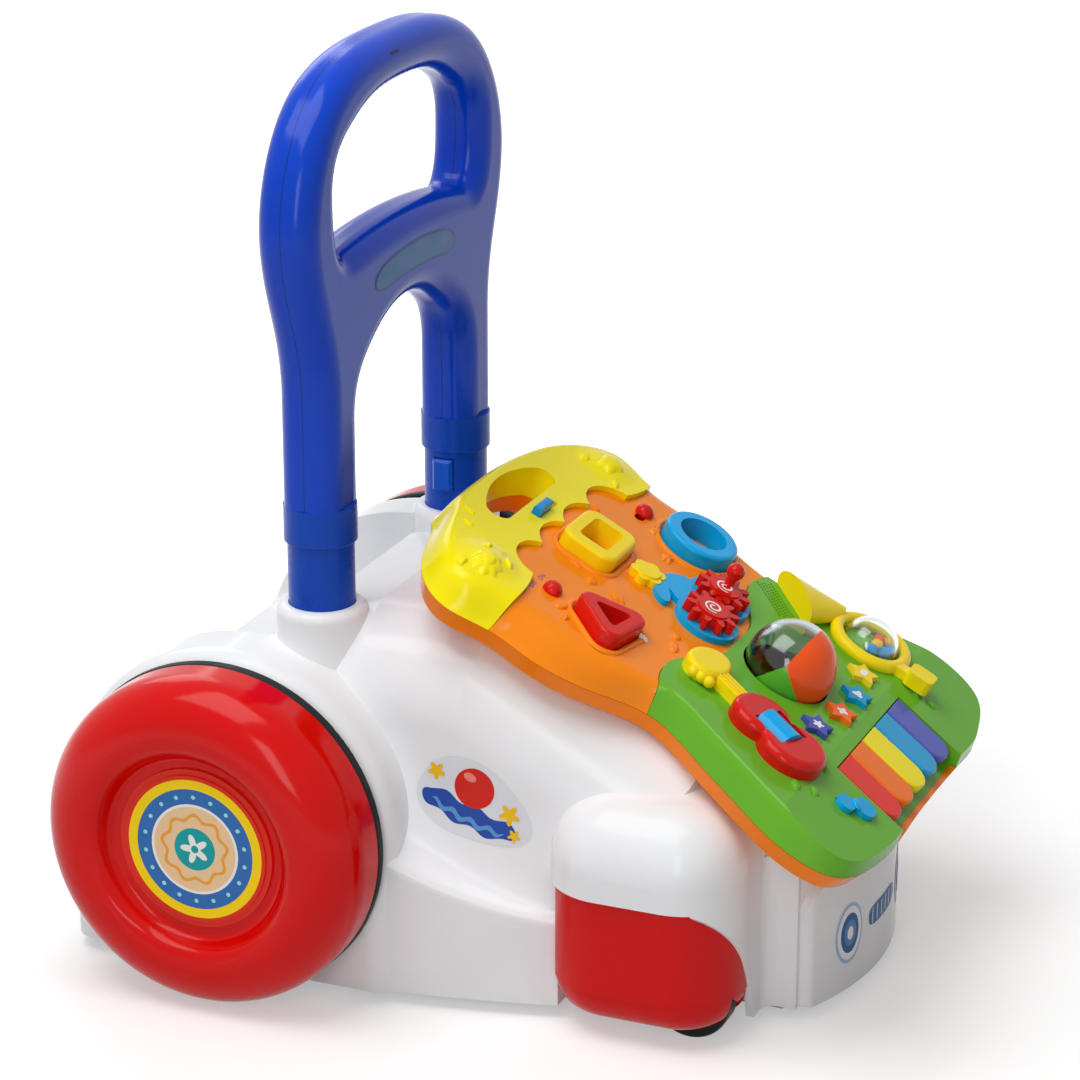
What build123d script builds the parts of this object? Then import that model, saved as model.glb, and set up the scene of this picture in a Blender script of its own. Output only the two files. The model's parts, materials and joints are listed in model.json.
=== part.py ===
from build123d import *
import os
from math import sin, cos, tan, radians, pi, hypot, sqrt, acos

# Baby walker with a lift-off activity board. Millimetres, +Z up, front at -Y, origin on the floor
# below the middle of its box. "Right" is the child's right hand side, at -X.

# Stance
clear = 0.3              # gap between pieces that move on each other
fit = 0.05               # running fit of a wheel on its axle
wall = 4.0               # body shell
floor_gap = 7.0          # body's lower rim above the floor

# Rear wheels
tyre_radius = 85.0
tyre_width = 6.4
tyre_depth = 9.0
axle_y = 109.7
axle_radius = 6.0
wheel_side_gap = 1.5
wheel_bulge = 24.0       # round of the outer shoulder
wheel_flat = 12.6        # straight tread between the tyre and the shoulder
wheel_dish = 11.5        # depth of the dished middle
wheel_dish_radius = 45.0
wheel_wall = 3.0
hub_radius = 13.0
cap_radius = 41.0
cap_thick = 2.4

# Body
fender_half = 133.0
fender_top = 171.0
fender_rear = 92.0       # reach of the fender behind the axle
fender_front = 86.0      # and in front of it
fender_round = 13.0
core_half = 104.0
core_back = 16.0         # the core starts this far behind the bumper's foremost point
core_round = 46.0        # the hood's broad shoulders
ridge_z = 186.0          # the hood's ridge under the board's rear end
ridge_y = 57.0
hood_drop = 1.5          # the hood ends this far below the fenders' crest
hood_z = fender_top - hood_drop
rear_wall_y = 100.0      # between the fenders the hood stops here
rear_gap_half = 96.0
rear_step_z = 108.0      # and a step is left below it
rear_gap_round = 9.0
sill_front_y = -56.0
sill_line = [(50.0, 0.93, 90.0), (0.0, 0.69, 67.0), (sill_front_y, 0.24, 54.0)]
sill_crest = 6.0         # round along the sill's crest; its line is y, reach from core to fender, z
cove_rise = 42.0         # hollow sweep from the sill up to the side panel
cove_share = 0.1
plate_thick = 3.0
saddle_rear = 12.0       # flat under the board
saddle_half = 50.0

# Front bumper
nose_y = -180.0
nose_radius = 146.0
nose_half = 70.0
nose_top = 96.0
nose_corner = 6.0
nose_round = 12.0
nose_cove = 7.5          # hollow round between the bumper's side and the pod
face_half = 66.0
face_top = 72.0
face_corner = 16.0
face_thick = 5.0
face_edge = 4.0

# Front wheel pods
pod_half = 130.0
pod_rear_y = -49.0
pod_front_y = -148.0
pod_corner = 33.0
pod_top = 119.0
pod_round = 32.0
skirt_top = 75.0
skirt_low = 8.0
skirt_step = 26.0
skirt_draw = 15.0        # the cup's foot is drawn in this far
skirt_belly = 5.0        # and this far a third of the way up to the step
skirt_wall = 2.6
skirt_reveal = 1.6
skirt_inner = 70.0
pillar_low = 84.0        # the pod's front wall runs down beside the skirt: its edge at the floor,
pillar_mid = 99.0        # about half way up
pillar_share = 0.56
pillar_top = 127.0       # and under the skirt's top
front_wheel_radius = 20.0
front_wheel_width = 15.0
front_wheel_x = 98.0
front_wheel_y = -122.0
front_axle_radius = 3.0
wheel_room = 3.0
wheel_side = 1.0
cheek = 5.0              # the cheeks that carry a front axle

# Handle
post_x = 80.6
post_y = 82.0
post_radius = 16.5
post_foot = 77.0
post_bore = 12.5
socket_radius = 23.0
socket_rim = 187.0
socket_floor = 3.0
collar_low = 219.0
collar_top = 238.0
collar_radius = 18.1
spigot_radius = 9.0
spigot_length = 24.0
handle_depth = 31.0
handle_round = 12.0
handle_half = 117.0
leg_width = 34.5
leg_length = 54.0        # the handle from its foot upwards: straight leg,
arch_rise = 30.0         # arch between the legs,
bridge = 44.0            # bridge,
hole_high = 66.0         # hand hole
crown = 25.0             # and top bar
limb = 34.0              # beside the hand hole
wide_rise = 14.0         # widest place above the hole's foot
hole_wide_rise = 26.0
hole_sag = 5.0
hole_corner = 14.0
arch_lead = 14.0         # the arch starts this far below the legs' upper end
hip = (0.69, 0.61)       # shares of the way across and up where the outlines pass
shoulder = (0.778, 0.714)
hole_shoulder = (0.783, 0.65)
arch_shoulder = (0.747, 0.636)
leg_straight = collar_top + leg_length
arch_top = leg_straight + arch_rise
hole_low = arch_top + bridge
hole_top = hole_low + hole_high
handle_top = hole_top + crown
hole_half = handle_half - limb
handle_wide_z = hole_low + wide_rise
hole_wide_z = hole_low + hole_wide_rise
hole_low_side = hole_low - hole_sag
handle_edge = min(handle_round, 0.48 * min(crown, limb, bridge, leg_width), 0.4 * handle_depth)
button_z = 207.0
button_wide = 11.0
button_high = 17.0
button_deep = 9.0
button_proud = 2.6
button_travel = 2.5

# Activity board, in its own sloping frame: x across, y up the slope, z off its face
board_tilt = 27.5
board_z = 218.3          # height of the face's plane at y = 0
seam = -15.0
base_low = -25.0
base_draw = 4.0
board_wall = 3.0
middle_top = 0.0
cover_top = 1.6
grip_top = 3.0
cover_skin = 3.0
middle_skin = 6.0
part_line = 0.3
board_front = -239.0
grip_end = -4.0          # the grip is solid behind this line
grip_hole_half = 48.0
grip_hole_front = 6.0
grip_hole_rear = 27.0

# Outlines of the board's right half at the seam and round its face, from the rear to the front
seam_points = [(50, 33), (90, 19), (106, -3), (101, -27), (102, -48), (93, -84), (82, -111),
               (92, -141), (106, -172), (116, -205), (110, -227), (88, -237)]
face_points = [(46, 26), (80, 13), (93, -5), (84, -27), (81, -48), (80, -84), (77, -111),
               (88, -141), (101, -172), (111, -205), (105, -225), (85, -233)]
seam_rear = 38.0
face_rear = 30.0
face_draw = 4.0

# Edges between the board's three mouldings, right half: the grip's scallops and lobe, the front's lobes
grip_tips = [(0, -14), (31, -15), (62, -24)]
grip_lows = [(15.5, -8), (47, -8)]
grip_lobe = [(62, -24), (82, -28), (104, -25)]
front_edge = [(0, -118), (24, -116.5), (44, -106), (62, -101.5), (78, -106), (92, -117)]
front_end_run = (1, -0.7)
far = 150.0              # reach of cutting shapes past the board
boss_radius = 5.0

# Toys on the board
block_deep = 12.0
recess = 3.0
block_gap = 0.4
square_wide, square_long, square_y = 38.0, 31.0, -33.0
side_block_x, side_block_y = 62.0, -68.0
ring_radius = 20.0
triangle_radius = 26.0
block_frame = 7.0
slider_x, slider_y, slider_radius = 61.0, -36.0, 5.0
slider_travel = 6.0
slider_slot_wide = 5.0
gear_module = 2.5
gear_teeth = 10
gear_thick = 6.0
gear_space = 0.5         # extra distance between the two gear centres
gear_x, gear_y = -1.0, -100.0
gear_lean = 8.0          # slope of the line between the gear centres, degrees
gear_pin = 3.0
gear_plate_thick = 3.4
knob_radius = 4.6
knob_height = 13.0
flower_x, flower_y, flower_radius = 4.0, -62.0, 6.4
ball_y, ball_z, ball_radius = -147.0, 7.0, 23.0
ball_wall = 2.2
ball_spindle = 4.0
guitar_lean = 22.0
guitar_x, guitar_y = -64.5, -165.0
bout_big, bout_small, bout_gap = 17.5, 15.5, 11.5
guitar_high = 9.0
roller_radius, roller_length = 9.0, 19.0
roller_z = 4.2
roller_pin = 2.0
trumpet_x, trumpet_y = 75.0, -168.0
trumpet_ring, trumpet_tube = 19.2, 3.6
dome_radius, dome_wall = 15.4, 1.6
star_radius = 8.8
star_travel = 2.5
star_places = [(41.5, -176.0), (18.5, -181.0), (-5.5, -181.0), (-30.5, -176.5)]
button_rise = 3.0
key_count = 5
key_pitch = 19.4
key_gap = 0.7
key_rear_y, key_front_y = -197.0, -234.5
key_thick = 4.5
key_slope = 10.5
key_swing = 4.0
key_sink = 0.3           # key tops below the cover round them
slope_y = -190.0         # the cover's face falls away in front of this line
bed_spare = 0.5
bow_x, bow_y = -67.0, -215.0
tab_y = -1.0
tab_long, tab_thick, tab_slot = 15.0, 5.0, 24.0
tab_rise = 5.0
speaker_x, speaker_y, speaker_radius = 56.0, -122.0, 15.0
cell_radius, cell_length, cell_count = 7.0, 50.0, 3
cell_y = -78.0
circuit_wide, circuit_long, circuit_thick = 100.0, 44.0, 1.6
circuit_y, circuit_z = -202.0, -20.4
screw_places = [(74.0, -40.0), (84.0, -205.0)]
screw_radius = 2.4
tether_radius = 1.2
tether_run = 6.0


def rod_x(radius, x0, x1, y, z):
    length = x1 - x0
    return Pos(x0 + length / 2, y, z) * Rot(0, 90, 0) * Cylinder(radius, length)


def box(x0, x1, y0, y1, z0, z1):
    return Pos((x0 + x1) / 2, (y0 + y1) / 2, (z0 + z1) / 2) * Box(x1 - x0, y1 - y0, z1 - z0)


def prism(points, depth, plane=Plane.XY):
    face = make_face(Polyline(*points, close=True))
    return extrude(plane * face, depth)


def other_side(shape):
    return mirror(shape, Plane.YZ)


board = Plane(origin=(0, 0, board_z), x_dir=(1, 0, 0),
              z_dir=(0, -sin(radians(board_tilt)), cos(radians(board_tilt))))
rise = tan(radians(board_tilt))
deck_z0 = board_z + base_low / cos(radians(board_tilt))


def deck(y):
    return deck_z0 + rise * y


# Rear wheels, made on the left side and mirrored
tyre_x = fender_half + wheel_side_gap
tread_radius = tyre_radius - 0.4
rim_x = tyre_x + tyre_width
shoulder_x = rim_x + wheel_flat
crest_r = tread_radius - wheel_bulge
crest_x = shoulder_x + wheel_bulge
dish_x = crest_x - wheel_dish
crest_round = 10.0
axle_end = dish_x - wheel_wall


def wheel_outline(inset):
    """Half section of the wheel's outer skin, drawn in by a wall's thickness."""
    bulge = wheel_bulge - inset
    inner = max(crest_round - inset, 2.0)
    inner_x = crest_x - crest_round
    foot_x = dish_x - inset
    dish_r = wheel_dish_radius + inset
    start = (rim_x + inset, tread_radius - inset)
    top = (shoulder_x, tread_radius - inset)
    crest = (shoulder_x + bulge, crest_r)
    turn = (inner_x + inner, crest_r)
    return start, top, crest, turn, (foot_x, dish_r)


def rear_wheel():
    start, top, crest, turn, foot = wheel_outline(0)
    seat_r = tyre_radius - tyre_depth
    bend = 0.70710678
    mid = (top[0] + wheel_bulge * bend, crest_r + wheel_bulge * bend)
    inner_mid = (turn[0] - 3.2, crest_r - 9.4)
    i_start, i_top, i_crest, i_turn, i_foot = wheel_outline(wheel_wall)
    i_bulge = wheel_bulge - wheel_wall
    i_mid = (i_top[0] + i_bulge * bend, crest_r + i_bulge * bend)
    i_inner_mid = (i_turn[0] - 3.2, crest_r - 6.8)
    edges = [
        Line((tyre_x, seat_r), (rim_x, seat_r)),
        Line((rim_x, seat_r), start),
        Line(start, top),
        ThreePointArc(top, mid, crest),
        Spline(crest, inner_mid, foot, tangents=[(0, -1), (-0.3, -1)]),
        Line(foot, (dish_x, 0)),
        Line((dish_x, 0), (dish_x - wheel_wall / 2, 0)),
        Line((dish_x - wheel_wall / 2, 0), (dish_x - wheel_wall / 2, axle_radius + fit)),
        Line((dish_x - wheel_wall / 2, axle_radius + fit), (tyre_x, axle_radius + fit)),
        Line((tyre_x, axle_radius + fit), (tyre_x, hub_radius)),
        Line((tyre_x, hub_radius), (i_foot[0], hub_radius)),
        Line((i_foot[0], hub_radius), i_foot),
        Spline(i_foot, i_inner_mid, i_crest, tangents=[(0.3, 1), (0, 1)]),
        ThreePointArc(i_crest, i_mid, i_top),
        Line(i_top, i_start),
        Line(i_start, (i_start[0], seat_r - wheel_wall)),
        Line((i_start[0], seat_r - wheel_wall), (tyre_x, seat_r - wheel_wall)),
        Line((tyre_x, seat_r - wheel_wall), (tyre_x, seat_r)),
    ]
    face = make_face(Curve() + edges)
    return Pos(0, axle_y, tyre_radius) * revolve(face, Axis.X)


def rear_tyre():
    seat_r = tyre_radius - tyre_depth
    soft = 1.6
    face = Pos(tyre_x + tyre_width / 2, seat_r + tyre_depth / 2) * Rectangle(tyre_width, tyre_depth)
    face = fillet(face.vertices().group_by(Axis.Y)[-1], soft)
    return Pos(0, axle_y, tyre_radius) * revolve(face, Axis.X)


def wheel_cap():
    rim = 3.0
    ring = 1.0
    points = [(dish_x, 0), (dish_x, cap_radius), (dish_x + cap_thick - ring, cap_radius),
              (dish_x + cap_thick - ring, cap_radius - rim), (dish_x + cap_thick, cap_radius - rim),
              (dish_x + cap_thick, 0)]
    return Pos(0, axle_y, tyre_radius) * revolve(make_face(Polyline(*points, close=True)), Axis.X)


def front_wheel():
    hub = rod_x(front_wheel_radius, front_wheel_x - front_wheel_width / 2,
                front_wheel_x + front_wheel_width / 2, front_wheel_y, front_wheel_radius)
    hub = fillet(hub.edges().filter_by(GeomType.CIRCLE), 2.5)
    return hub - rod_x(front_axle_radius + fit, 0, 2 * front_wheel_x, front_wheel_y, front_wheel_radius)


# Body
def pod_plan(inset, x_in):
    x0, x1 = x_in, pod_half - inset
    y0, y1 = pod_front_y + inset, pod_rear_y - inset
    face = Pos((x0 + x1) / 2, (y0 + y1) / 2) * Rectangle(x1 - x0, y1 - y0)
    outer = face.vertices().group_by(Axis.X)[-1]
    return fillet(outer, pod_corner - inset)


def nose_plan(grow, half, corner):
    """The bumper's bowed front, as a plan from the middle of the body forwards."""
    r = nose_radius + grow
    centre_y = nose_y + nose_radius
    edge_y = centre_y - sqrt(r * r - half * half)
    back_y = pod_front_y + pod_corner
    arc = ThreePointArc((-half, edge_y), (0, centre_y - r), (half, edge_y))
    sides = Polyline((half, edge_y), (half, back_y), (-half, back_y), (-half, edge_y))
    face = make_face(Curve() + [arc, sides])
    return fillet(face.vertices().group_by(Axis.Y)[0], corner)


def nose_coves():
    """Plan of the hollow rounds between the pods' fronts and the bumper's sides."""
    low_y, bend = pod_front_y - nose_cove, nose_cove * (1 - sqrt(0.5))
    faces = []
    for side in (-1, 1):
        arc = ThreePointArc((side * nose_half, low_y), (side * (nose_half + bend), pod_front_y - bend),
                            (side * (nose_half + nose_cove), pod_front_y))
        rest = Polyline((side * (nose_half + nose_cove), pod_front_y),
                        (side * (nose_half + nose_cove), pod_front_y + wall),
                        (side * (nose_half - wall), pod_front_y + wall),
                        (side * (nose_half - wall), low_y), (side * nose_half, low_y))
        faces.append(make_face(Curve() + [arc, rest]))
    return faces[0] + faces[1]


def fender_profile(inset):
    """Side view of the wheel fender with its front and rear walls."""
    rear = axle_y + fender_rear - inset
    front = axle_y - fender_front + inset
    low = floor_gap - (inset > 0) * 2 * wall
    middle = ((rear + front) / 2, tyre_radius)
    arc = EllipticalCenterArc(middle, (rear - front) / 2, fender_top - inset - tyre_radius,
                              arc_size=180)
    rest = Polyline((front, tyre_radius), (front, low), (rear, low), (rear, tyre_radius))
    return make_face(Curve() + [arc, rest])


def core_profile(inset):
    """Side view of the hood: the deck under the board, a ridge and a fall to the rear."""
    front = nose_y + core_back + inset
    low = floor_gap - (inset > 0) * 2 * wall
    top = ridge_z - inset
    drop = inset / cos(radians(board_tilt))
    edge = (top - deck_z0 + drop) / rise
    fall = (ridge_z - hood_z) / (axle_y - ridge_y)
    turn = ridge_y - inset * (sqrt(1 + fall * fall) - 1) / fall
    end = top - fall * (axle_y - turn)
    points = [(front, low), (front, deck(front) - drop), (edge, top), (turn, top), (axle_y, end),
              (axle_y, low)]
    return make_face(Polyline(*points, close=True))


def side_solid(face, half):
    return extrude(Plane.YZ * face, half, both=True)


def core_solid(inset):
    """Hood and side panels with rounded upper edges, narrowed to the bumper in front of the pods."""
    half = core_half - inset
    solid = side_solid(core_profile(inset), half)
    edges = solid.edges().filter_by(lambda e: e.center().Z > tyre_radius and abs(e.center().X) > half - 1)
    solid = fillet(edges.filter_by(lambda e: abs(e.center().Y - axle_y) > 1), core_round - inset)
    side_x, bend = nose_half - inset, core_half - nose_half
    turn_y = pod_front_y + pod_corner + inset + bend
    flank = box(side_x, fender_half, 2 * nose_y, turn_y, -ridge_z, ridge_z)
    flank = flank - Pos(side_x + wall, turn_y) * Cylinder(bend, 4 * ridge_z)
    return solid - flank - other_side(flank)


def fender_solid(inset):
    half = fender_half - inset
    drum = side_solid(fender_profile(inset), half)
    return fillet(drum.edges().filter_by(lambda e: abs(e.center().X) > half - 1
                                         and e.center().Z > floor_gap + 1), fender_round - inset)


def rear_gap(grow):
    """Room between the fenders behind the hood, rounded where it meets the hood's end and the step."""
    half, front, low = rear_gap_half + grow, rear_wall_y - grow, rear_step_z - grow
    room = box(-half, half, front, 2 * axle_y + fender_rear, low, 2 * fender_top)
    upright = room.edges().filter_by(Axis.Z).filter_by(lambda e: e.center().Y < front + 1)
    room = fillet(upright, rear_gap_round + grow)
    foot = room.edges().filter_by(lambda e: e.center().Z < low + 1
                                  and e.center().Y < axle_y + fender_rear + 1)
    return fillet(foot, rear_gap_round + grow - 1)


def sill_section(y, share, crest):
    """The sill's section: upright side, rounded crest and a hollow sweep up to the side panel."""
    x = core_half + share * (fender_half - core_half)
    inner = core_half - wall
    top = crest + cove_rise
    sweep_x = x - sill_crest
    bend = (core_half + cove_share * (sweep_x - core_half), crest + cove_share * cove_rise)
    edges = [Line((inner, floor_gap), (x, floor_gap)), Line((x, floor_gap), (x, crest - sill_crest)),
             Bezier((x, crest - sill_crest), (x, crest), (sweep_x, crest)),
             Bezier((sweep_x, crest), bend, (core_half, top)),
             Line((core_half, top), (inner, top)), Line((inner, top), (inner, floor_gap))]
    plane = Plane(origin=(0, y, 0), x_dir=(1, 0, 0), z_dir=(0, -1, 0))
    return plane * make_face(Curve() + edges)


def sill():
    return loft([sill_section(*place) for place in sill_line])


def pillar(grow):
    """Front part of the pod's wall that stays white beside the skirt."""
    y1 = front_wheel_y - front_axle_radius - 4.5
    arc = ThreePointArc((pillar_low + grow, 0), (pillar_mid + grow, pillar_share * skirt_top),
                        (pillar_top + grow, skirt_top))
    rest = Polyline((pillar_top + grow, skirt_top), (0, skirt_top), (0, 0), (pillar_low + grow, 0))
    plane = Plane(origin=(0, y1, 0), x_dir=(1, 0, 0), z_dir=(0, -1, 0))
    return extrude(plane * make_face(Curve() + [arc, rest]), 2 * pod_corner)


def skirt_room():
    """Space below the pod that the wheel skirt fills."""
    return box(skirt_inner, pod_half + 1, pod_front_y - 1, pod_rear_y + 1, 0, skirt_top) - pillar(0)


def body_shell():
    pod = extrude(Pos(0, 0, floor_gap) * pod_plan(0, 0), pod_top - floor_gap)
    pod = fillet(pod.edges().filter_by(lambda e: e.center().Z > pod_top - 1
                                       and e.center().X > 20), pod_round)
    pod = pod - skirt_room()
    nose = extrude(Pos(0, 0, floor_gap) * nose_plan(0, nose_half, nose_corner), nose_top - floor_gap)
    nose = fillet(nose.edges().filter_by(lambda e: e.center().Z > nose_top - 1
                                         and e.center().Y < pod_front_y), nose_round)
    coves = extrude(Pos(0, 0, floor_gap) * nose_coves(), pod_top - pod_round - floor_gap)
    plate = nose_plan(face_thick, face_half, face_edge)
    plate = extrude(Pos(0, 0, floor_gap) * plate, face_top - floor_gap)
    mask = Pos(0, face_top / 2) * Rectangle(2 * face_half, face_top)
    mask = fillet(mask.vertices().group_by(Axis.Y)[-1], face_corner)
    plate = plate & extrude(Plane.XZ * mask, 2 * fender_half, both=True)
    saddle = prism([(sill_front_y, hood_z - 2 * wall), (sill_front_y, deck(sill_front_y)),
                    (saddle_rear, deck(saddle_rear)), (saddle_rear, hood_z - 2 * wall)],
                   saddle_half, Plane.YZ)
    side = sill() + pod + saddle
    socket = Pos(post_x, post_y, 0) * extrude(Circle(socket_radius), socket_rim)
    socket = socket & box(0, fender_half, 0, 2 * post_y, post_foot - socket_floor, socket_rim)
    socket = fillet(socket.edges().group_by(Axis.Z)[-1], 4.5)
    outer = core_solid(0) + fender_solid(0) + side + other_side(side) + nose + coves + plate - rear_gap(0)
    hollow = core_solid(wall) + fender_solid(wall) - rear_gap(wall)
    shell = outer - hollow
    shell = shell + socket + other_side(socket)
    bore = Pos(post_x, post_y, 0) * Cylinder(post_radius + clear, 2 * (socket_rim - post_foot))
    bore = Pos(0, 0, socket_rim) * bore
    shell = shell - bore - other_side(bore)
    shell = shell - rod_x(axle_radius + fit, -fender_half - 1, fender_half + 1, axle_y, tyre_radius)
    room = skirt_room() + extrude(pod_plan(wall, skirt_inner), skirt_top + wall)
    room = room & box(0, 2 * pod_half, 2 * pod_front_y, sill_front_y, 0, 2 * skirt_top)
    return shell - room - other_side(room)


def base_plate():
    lip = 2 * wall
    front = nose_y + 24
    rear = axle_y + fender_rear - lip
    turn_y = sill_line[0][0]
    inner = skirt_inner - wall
    points = [(inner, front), (inner, pod_rear_y + lip), (core_half, pod_rear_y + lip),
              (fender_half - lip, turn_y), (fender_half - lip, rear)]
    points = points + [(-x, y) for x, y in reversed(points)]
    return prism(points, plate_thick, Plane.XY.offset(floor_gap - plate_thick))


def cup_form(inset, reach, low, high):
    """The skirt's cup: upright above a step, drawn in like a bowl below it."""
    upper = extrude(Pos(0, 0, skirt_step) * pod_plan(inset, reach), high - skirt_step)
    sections = []
    for share, draw in ((0, skirt_draw), (0.33, skirt_belly), (1, 0.8)):
        sections.append(Pos(0, 0, low + share * (skirt_step - low)) * pod_plan(inset + draw, reach))
    return upper + loft(sections)


def wheel_skirt():
    """Cup-shaped guard over a front wheel, with the cheeks that hold the wheel's axle."""
    reach = skirt_inner + clear
    form = cup_form(skirt_reveal, reach, skirt_low, skirt_top - clear)
    hollow = cup_form(skirt_reveal + skirt_wall, reach - 2 * wall, skirt_low + skirt_wall, 2 * skirt_top)
    half = front_wheel_width / 2 + wheel_side
    boss = front_axle_radius + 4.0
    forks = None
    for side in (-1, 1):
        x0 = front_wheel_x + side * (half + cheek / 2) - cheek / 2
        fork = box(x0, x0 + cheek, front_wheel_y - boss, front_wheel_y + boss, skirt_low + 1,
                   skirt_top - 2 * cheek)
        forks = fork if forks is None else forks + fork
    cup = form - hollow - pillar(clear) + (forks & form)
    cup = cup & box(0, 2 * pod_half, 2 * pod_front_y, sill_front_y - clear, 0, 2 * skirt_top)
    slot = rod_x(front_wheel_radius + wheel_room, front_wheel_x - half, front_wheel_x + half,
                 front_wheel_y, front_wheel_radius)
    cup = cup - (slot & box(0, fender_half, 2 * pod_front_y, 0, 0, skirt_step + 12))
    return cup - rod_x(front_axle_radius, front_wheel_x - half - cheek, front_wheel_x + half + cheek,
                       front_wheel_y, front_wheel_radius)


def front_axle():
    half = front_wheel_width / 2 + wheel_side + cheek
    return rod_x(front_axle_radius, front_wheel_x - half, front_wheel_x + half,
                 front_wheel_y, front_wheel_radius)


# Handle, drawn as its front view
def between(start, end, shares):
    return (start[0] + shares[0] * (end[0] - start[0]), start[1] + shares[1] * (end[1] - start[1]))


def handle_plan():
    half_leg = leg_width / 2
    out_x, in_x = post_x + half_leg, post_x - half_leg
    hip_end, wide, top = (out_x, leg_straight), (handle_half, handle_wide_z), (0, handle_top)
    shoulder_x = shoulder[0] * handle_half
    shoulder_z = handle_wide_z + shoulder[1] * (handle_top - handle_wide_z)
    outer = Spline(hip_end, between(hip_end, wide, hip), wide, (shoulder_x, shoulder_z), top,
                   tangents=[(0, 1), (-1, 0)])
    arch_foot = (in_x, leg_straight - arch_lead)
    arch_bend = (arch_shoulder[0] * in_x, arch_foot[1] + arch_shoulder[1] * (arch_top - arch_foot[1]))
    arch = Spline(arch_foot, arch_bend, (0, arch_top), tangents=[(0, 1), (-1, 0)])
    right = Curve() + [outer, arch, Line((out_x, collar_top), hip_end), Line((in_x, collar_top), arch_foot),
                       Line((in_x, collar_top), (out_x, collar_top)), Line((0, arch_top), top)]
    side, low = (hole_half, hole_wide_z), (hole_half - hole_corner, hole_low_side)
    bend = (hole_shoulder[0] * hole_half, hole_wide_z + hole_shoulder[1] * (hole_top - hole_wide_z))
    sag = (-1, 2 * hole_sag / (hole_half - hole_corner))
    hole = Curve() + [Spline((0, hole_top), bend, side, tangents=[(1, 0), (0, -1)]),
                      Spline(side, low, tangents=[(0, -1), sag]),
                      Spline(low, (0, hole_low), tangents=[sag, (-1, 0)]),
                      Line((0, hole_low), (0, hole_top))]
    return make_face(right) - make_face(hole)


def handle_half_shell(side):
    """One of the two mouldings that close along the handle's middle plane."""
    half = handle_plan()
    plan = half + mirror(half, Plane.YZ)
    front = Plane(origin=(0, post_y, 0), x_dir=(1, 0, 0), z_dir=(0, -1, 0))
    solid = extrude(front * plan, handle_depth / 2, dir=(0, side, 0))
    edge_y = post_y + side * handle_depth / 2
    edges = solid.edges().filter_by(lambda e: abs(e.center().Y - edge_y) < 0.01
                                    and e.center().Z > collar_top + 1)
    solid = fillet(edges, handle_edge)
    spigot = Pos(post_x, post_y, collar_top) * Cylinder(spigot_radius + fit, 2 * (spigot_length + clear))
    solid = solid - spigot - other_side(spigot)
    return solid


def handle_post():
    """Lower tube with the spigot that goes up into the handle and the latch button's pocket."""
    tube = Pos(post_x, post_y, (post_foot + collar_top) / 2) * Cylinder(post_radius, collar_top - post_foot)
    spigot_z = collar_top + spigot_length / 2
    tube = tube + Pos(post_x, post_y, spigot_z) * Cylinder(spigot_radius, spigot_length)
    hollow_top = button_z - button_high
    hollow = Pos(post_x, post_y, (post_foot + hollow_top) / 2) * Cylinder(post_bore, hollow_top - post_foot)
    face_x = post_x - post_radius
    pocket = box(face_x - 1, face_x + button_deep + button_travel, post_y - button_wide / 2 - clear,
                 post_y + button_wide / 2 + clear, button_z - button_high / 2 - clear,
                 button_z + button_high / 2 + clear)
    return tube - hollow - pocket


def handle_collar():
    high = collar_top - collar_low
    ring = Pos(post_x, post_y, collar_low + high / 2) * Cylinder(collar_radius, high)
    ring = chamfer(ring.edges().group_by(Axis.Z)[0], 0.8)
    return ring - Pos(post_x, post_y, collar_low) * Cylinder(post_radius + fit, 4 * high)


def latch_button():
    face_x = post_x - post_radius
    body = box(face_x - button_proud, face_x + button_deep, post_y - button_wide / 2,
               post_y + button_wide / 2, button_z - button_high / 2, button_z + button_high / 2)
    return chamfer(body.faces().sort_by(Axis.X)[0].edges(), 1.4)


# Activity board, built in the sloping frame
def blend_points(share):
    return [(a[0] + (b[0] - a[0]) * share, a[1] + (b[1] - a[1]) * share)
            for a, b in zip(seam_points, face_points)]


def outline_steps():
    """Spline parameters shared by every outline, so that lofts between them stay light."""
    points = [(0, seam_rear)] + seam_points + [(0, board_front)]
    runs = [0.0]
    for a, b in zip(points, points[1:]):
        runs.append(runs[-1] + hypot(b[0] - a[0], b[1] - a[1]))
    return [run / runs[-1] for run in runs]


def outline(share, inset, z):
    """Closed outline between the seam's (share 0) and the face's (share 1), drawn in by inset."""
    rear = seam_rear + (face_rear - seam_rear) * share
    front = board_front + face_draw * share
    loose = blend_points(share)
    ends = [(0, rear)] + loose + [(0, front)]
    moved = [Vector(0, rear - inset)]
    for before, (x, y), after in zip(ends, loose, ends[2:]):
        run_x, run_y = after[0] - before[0], after[1] - before[1]
        run = hypot(run_x, run_y)
        moved.append(Vector(x + inset * run_y / run, y - inset * run_x / run))
    moved.append(Vector(0, front + inset))
    steps = outline_steps()
    right = Edge.make_spline(moved, [Vector(1, 0), Vector(-1, 0)], parameters=steps)
    back = [Vector(-point.X, point.Y) for point in reversed(moved)]
    steps_back = [1 - step for step in reversed(steps)]
    left = Edge.make_spline(back, [Vector(-1, 0), Vector(1, 0)], parameters=steps_back)
    return Pos(0, 0, z) * Face(Wire([right, left]))


def cover_form(top, inset, low):
    """Crowned form over the seam: steep at the foot, rounding over to the flat face."""
    sections = []
    for share in (0, 0.35, 0.75, 1):
        sections.append(outline(share, inset, low + (top - low) * (1 - (1 - share) ** 2)))
    return loft(sections)


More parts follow.
